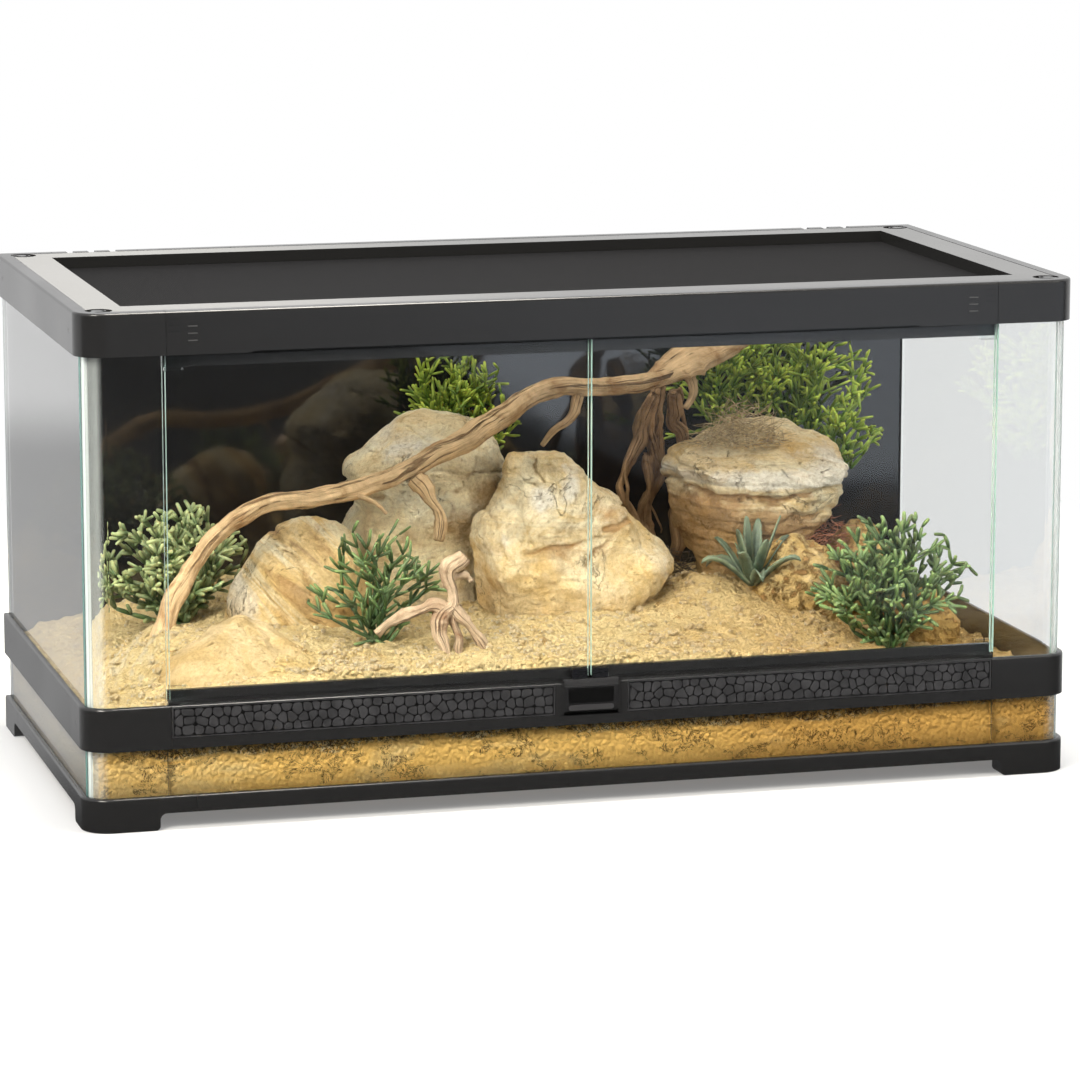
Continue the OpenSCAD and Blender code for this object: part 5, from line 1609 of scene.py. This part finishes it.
@dataclass
class Agave:
    """A rosette of thick grooved leaves: the outer ones arch over, the inner ones stand."""

    centre: Point = (0.205, -0.056, 0.156)
    leaves: int = 14
    length: float = 0.074
    width: float = 0.0125
    sheet: float = 0.0014
    first_turn: float = 2.2
    cells: tuple[int, int] = (16, 4)
    seed: int = 6

    def build(self) -> None:
        """Builds the rosette."""
        shape = bmesh.new()
        tip = shape.verts.layers.float.new("tip")
        rng = random.Random(self.seed)
        for k in range(self.leaves):
            age = 1.0 - k / (self.leaves - 1)
            turn = GOLDEN_ANGLE * k + self.first_turn
            rise = math.radians(80 - 46 * age ** 0.8 + rng.uniform(-6, 6))
            length = self.length * (0.72 + 0.35 * rng.random())
            made = bmesh.ops.create_grid(shape, x_segments=self.cells[0],
                                         y_segments=self.cells[1], size=1.0)["verts"]
            rot = Matrix.Rotation(turn, 3, "Z")
            for vert in made:
                t = (vert.co.x + 1) / 2
                w = vert.co.y
                tooth = 1.0 + (0.14 if abs(w) > 0.99 and round(t * self.cells[0]) % 2 else 0.0)
                half = self.width / 2 * (0.62 + 0.9 * t) * (1 - t) ** 0.6 * 1.15 * tooth
                droop = 0.45 * age * length * t * t * t
                out = length * (t - 0.12 * t * t) * math.cos(rise) + 0.003
                up = length * t * math.sin(rise) - droop + half * 0.75 * w * w
                vert.co = rot @ Vector((out, half * w, up)) + Vector(self.centre)
                vert[tip] = max(t ** 2, abs(w) ** 3)
        bmesh.ops.recalc_face_normals(shape, faces=shape.faces)
        bmesh.ops.solidify(shape, geom=shape.faces[:], thickness=self.sheet)
        skin = PlantSkin("agave_skin", (0.040, 0.068, 0.042), (0.20, 0.25, 0.16),
                         (0.15, 0.20, 0.15), 0.45)
        Piece.make("toothed_rosette", shape, skin.build(), "tank", "agave_leaf",
                   ["agave_plant"])


@dataclass
class MossTuft:
    """A tuft of thin curled strands lying on a stone or on the sand."""

    name: str
    centre: Point
    reach: Point
    finish: DryMoss
    strands: int = 260
    seed: int = 2
    nodes: tuple[str, ...] = ()

    def build(self) -> None:
        """Builds the tuft."""
        shape = bmesh.new()
        rng = random.Random(self.seed)
        for _ in range(self.strands):
            turn, far = rng.uniform(0, 2 * math.pi), math.sqrt(rng.random())
            low = self.reach[2] * (1 - far * far)
            point = Vector(self.centre) + Vector((math.cos(turn) * far * self.reach[0],
                                                  math.sin(turn) * far * self.reach[1],
                                                  low * rng.random()))
            heading = Vector((rng.gauss(0, 1), rng.gauss(0, 1), rng.gauss(0, 0.35))).normalized()
            curl = Vector((rng.gauss(0, 1), rng.gauss(0, 1), rng.gauss(0, 0.5)))
            path = [point.copy()]
            for _ in range(6):
                heading = (heading + curl * 0.35).normalized()
                point = point + heading * rng.uniform(0.0025, 0.0045)
                point.z = max(point.z, self.centre[2])
                path.append(point.copy())
            r = rng.uniform(0.00028, 0.0006)
            sweep(shape, path, lambda t, a, r=r: r * (1 - 0.6 * t), 4)
        Piece.make(self.name, shape, self.finish.build(), "tank", "moss", self.nodes)


@dataclass
class Planting:
    """Everything green, and the dry moss."""

    def build(self) -> None:
        """Builds the plants and the moss."""
        bright = PlantSkin("bright_skin", (0.070, 0.170, 0.016), (0.58, 0.72, 0.10),
                           bloom_share=0.05)
        grey = PlantSkin("grey_green_skin", (0.045, 0.095, 0.022), (0.48, 0.54, 0.25),
                         (0.40, 0.46, 0.26), 0.2)
        fresh = PlantSkin("fresh_skin", (0.030, 0.076, 0.018), (0.23, 0.33, 0.11),
                          (0.30, 0.34, 0.21), 0.2)
        CoralPlant("left_plant", [(-0.322, 0.056, 0.126)], (0.092, 0.056, 0.120), grey, seed=2,
                   stems=26, thick=0.0023).build()
        CoralPlant("middle_plant", [(-0.030, 0.168, 0.246), (-0.004, 0.166, 0.226)],
                   (0.062, 0.036, 0.126), bright, seed=6, stems=18, thick=0.0016,
                   spread=0.80, nodes=("rear_plants",)).build()
        CoralPlant("right_plant", [(0.250, 0.160, 0.262), (0.325, 0.156, 0.250)],
                   (0.098, 0.045, 0.134), bright, seed=9, stems=22, thick=0.0017,
                   spread=0.95, lift=0.05).build()
        CoralPlant("hanging_shoots", [(0.350, 0.118, 0.232)], (0.050, 0.030, 0.080), bright,
                   seed=12, stems=14, thick=0.0017, lift=-0.08).build()
        CoralPlant("front_left_plant", [(-0.166, -0.104, 0.128)], (0.082, 0.044, 0.122), fresh,
                   seed=4, stems=18, link=0.021, thick=0.0017, sides=(1, 1, 2)).build()
        CoralPlant("front_right_plant", [(0.316, -0.126, 0.102)], (0.100, 0.054, 0.136), fresh,
                   seed=7, stems=26, link=0.0175, thick=0.0021, nodes=("front_plants",)).build()
        Agave().build()
        MossTuft("ledge_moss", (0.222, 0.040, 0.276), (0.042, 0.032, 0.040),
                 DryMoss("straw_moss"), strands=460, nodes=("dry_moss",)).build()
        MossTuft("red_moss", (0.284, -0.016, 0.168), (0.030, 0.018, 0.056),
                 DryMoss("rust_moss", (0.58, 0.22, 0.10), (0.24, 0.08, 0.04)),
                 strands=230, seed=5).build()
        MossTuft("root_moss", (0.160, 0.088, 0.140), (0.030, 0.022, 0.034),
                 DryMoss("dark_moss", (0.24, 0.16, 0.10), (0.08, 0.05, 0.03)),
                 strands=200, seed=8).build()


@dataclass
class Studio:
    """Pale floor, soft lamps and the camera."""

    camera_place: Point = (-1.1118, -4.0950, 0.9833)
    yaw: float = 15.3743
    pitch: float = -10.4769
    lens: float = 154.1
    floor_half: float = 14.0
    floor_drop: float = 0.0005
    floor_colour: Colour = (0.94, 0.94, 0.94)
    shadow_reach: float = 1.5
    card_colour: Colour = (0.84, 0.90, 1.0)
    card_left: float = 0.545
    card_near: float = -0.90
    near_white: float = 0.62
    shade_edge: float = -0.19
    side_edge: float = 0.42
    under_share: float = 0.3
    left_gloss: float = 0.58
    front_gloss: tuple[float, float] = (0.032, 0.072)
    lamps: tuple[tuple[str, Point, float, float], ...] = (
        ("key_lamp", (-1.9, -2.0, 2.1), 1.0, 88.0), ("fill_lamp", (2.2, -2.6, 1.6), 1.8, 25.0),
        ("top_lamp", (0.1, -0.1, 2.0), 0.9, 82.0))
    lamp_colour: Colour = (1.0, 0.95, 0.86)
    lamp_aim: Point = (0.0, 0.0, 0.22)
    sky_fill: float = 0.42

    def build(self) -> None:
        """Sets up the floor, the world, the lamps and the camera."""
        self.floor()
        self.world()
        for lamp in self.lamps:
            self.lamp(*lamp)
        self.camera()

    def floor(self) -> None:
        """Lays the floor: white to the camera, dark to gloss near the tank, with a pale card."""
        shape = bmesh.new()
        bmesh.ops.create_grid(shape, x_segments=1, y_segments=1, size=self.floor_half)
        mesh = bpy.data.meshes.new("studio_floor")
        shape.to_mesh(mesh)
        shape.free()
        s = Shade("studio_floor")
        matte = s.surface(self.floor_colour, 0.9, Specular_IOR_Level=0.1)
        path = s.add("ShaderNodeLightPath").outputs
        away = s.add("ShaderNodeVectorMath", {0: s.place}, operation="LENGTH").outputs["Value"]
        x, y = s.axis("X"), s.axis("Y")
        far = s.span(away, self.shadow_reach * 0.6, self.shadow_reach)
        beside = s.span(s.size(x), self.side_edge, self.side_edge + 0.06)
        ahead = s.span(y, self.shade_edge, self.shade_edge - 0.12, self.under_share, 1.0)
        near = s.times(s.calc("MAXIMUM", beside, ahead), self.near_white)
        seen = s.times(path["Is Camera Ray"], s.calc("MAXIMUM", far, near))
        white = s.add("ShaderNodeEmission").outputs[0]
        shown = s.mixed(s.calc("MAXIMUM", seen, path["Is Transmission Ray"]), matte, white)
        left_glow = s.span(away, 1.9, 2.5, self.left_gloss, 1.0)
        glow = s.blend(s.span(x, -0.36, -0.46), (1.0, 1.0, 1.0), left_glow)
        card = s.times(s.span(x, self.card_left - 0.02, self.card_left + 0.02),
                       s.span(y, self.card_near + 0.05, self.card_near - 0.05))
        front = s.blend(card, s.span(away, 0.7, 2.2, *self.front_gloss), self.card_colour)
        gloss = s.add("ShaderNodeEmission", {"Color": s.blend(s.span(y, -0.3, 0.3), front, glow)})
        mesh.materials.append(
            s.finish(s.mixed(path["Is Glossy Ray"], shown, gloss.outputs[0])))
        floor = bpy.data.objects.new("studio_floor", mesh)
        floor.location.z = -self.floor_drop
        bpy.context.scene.collection.objects.link(floor)

    def world(self) -> None:
        """Sets a soft sky: white to the camera and above, and dim to gloss from the front."""
        s = Shade("studio_world", bpy.data.worlds)
        bpy.context.scene.world = s.owner
        path = s.add("ShaderNodeLightPath").outputs
        way = s.add("ShaderNodeTexCoord").outputs["Generated"]
        slope = s.calc("ADD", s.times(s.axis("Z", way), 0.8), s.axis("Y", way))
        clear = s.calc("MAXIMUM", path["Is Camera Ray"], path["Is Transmission Ray"])
        strength = self.sky_fill
        gloss = s.span(slope, -0.6, 0.3, 0.15)
        for factor, shine in ((path["Is Glossy Ray"], gloss), (clear, 1.0)):
            strength = s.add("ShaderNodeMix", {0: factor, 2: strength, 3: shine}).outputs[0]
        sky = s.add("ShaderNodeBackground", {"Color": (1.0, 1.0, 1.0), "Strength": strength})
        s.finish(sky.outputs[0], "ShaderNodeOutputWorld")

    def lamp(self, name: str, place: Point, size: float, power: float) -> None:
        """Hangs a square soft lamp that points at the middle of the object.

        Args:
            name: Name of the lamp.
            place: Its place.
            size: Its side.
            power: Its power in watts.
        """
        data = bpy.data.lights.new(name, "AREA")
        data.size = size
        data.energy = power
        data.color = self.lamp_colour
        lamp = bpy.data.objects.new(name, data)
        bpy.context.scene.collection.objects.link(lamp)
        lamp.location = place
        lamp.rotation_euler = (Vector(self.lamp_aim) - Vector(place)).to_track_quat(
            "-Z", "Y").to_euler()

    def camera(self) -> None:
        """Places the camera."""
        data = bpy.data.cameras.new("camera")
        data.lens = self.lens
        data.sensor_width = 36.0
        camera = bpy.data.objects.new("camera", data)
        bpy.context.scene.collection.objects.link(camera)
        camera.location = self.camera_place
        camera.rotation_euler = (math.radians(90 + self.pitch), 0.0, -math.radians(self.yaw))
        bpy.context.scene.camera = camera
        bpy.context.scene.view_settings.view_transform = "Standard"


def corners(box: tuple[Vector, Vector]) -> list[list[float]]:
    """Turns a box into plain lists."""
    return [[float(c) for c in corner] for corner in box]


def main() -> None:
    """Builds the terrarium's looks, part by part."""
    logging.basicConfig(level=logging.INFO, format="%(name)s: %(message)s")
    # Without a seed, noise.noise_vector starts from the clock, and each run differs.
    noise.seed_set(NOISE_SEED)
    for part in (MouldedFrames(), GlassTank(), Doors(), FrontPlate(), ScreenLid(), SandBed(),
                 RockGroup(), Driftwood(), Planting(), Studio()):
        part.build()
        LOG.info("finished %s", type(part).__name__)


if __name__ == "__main__":
    main()
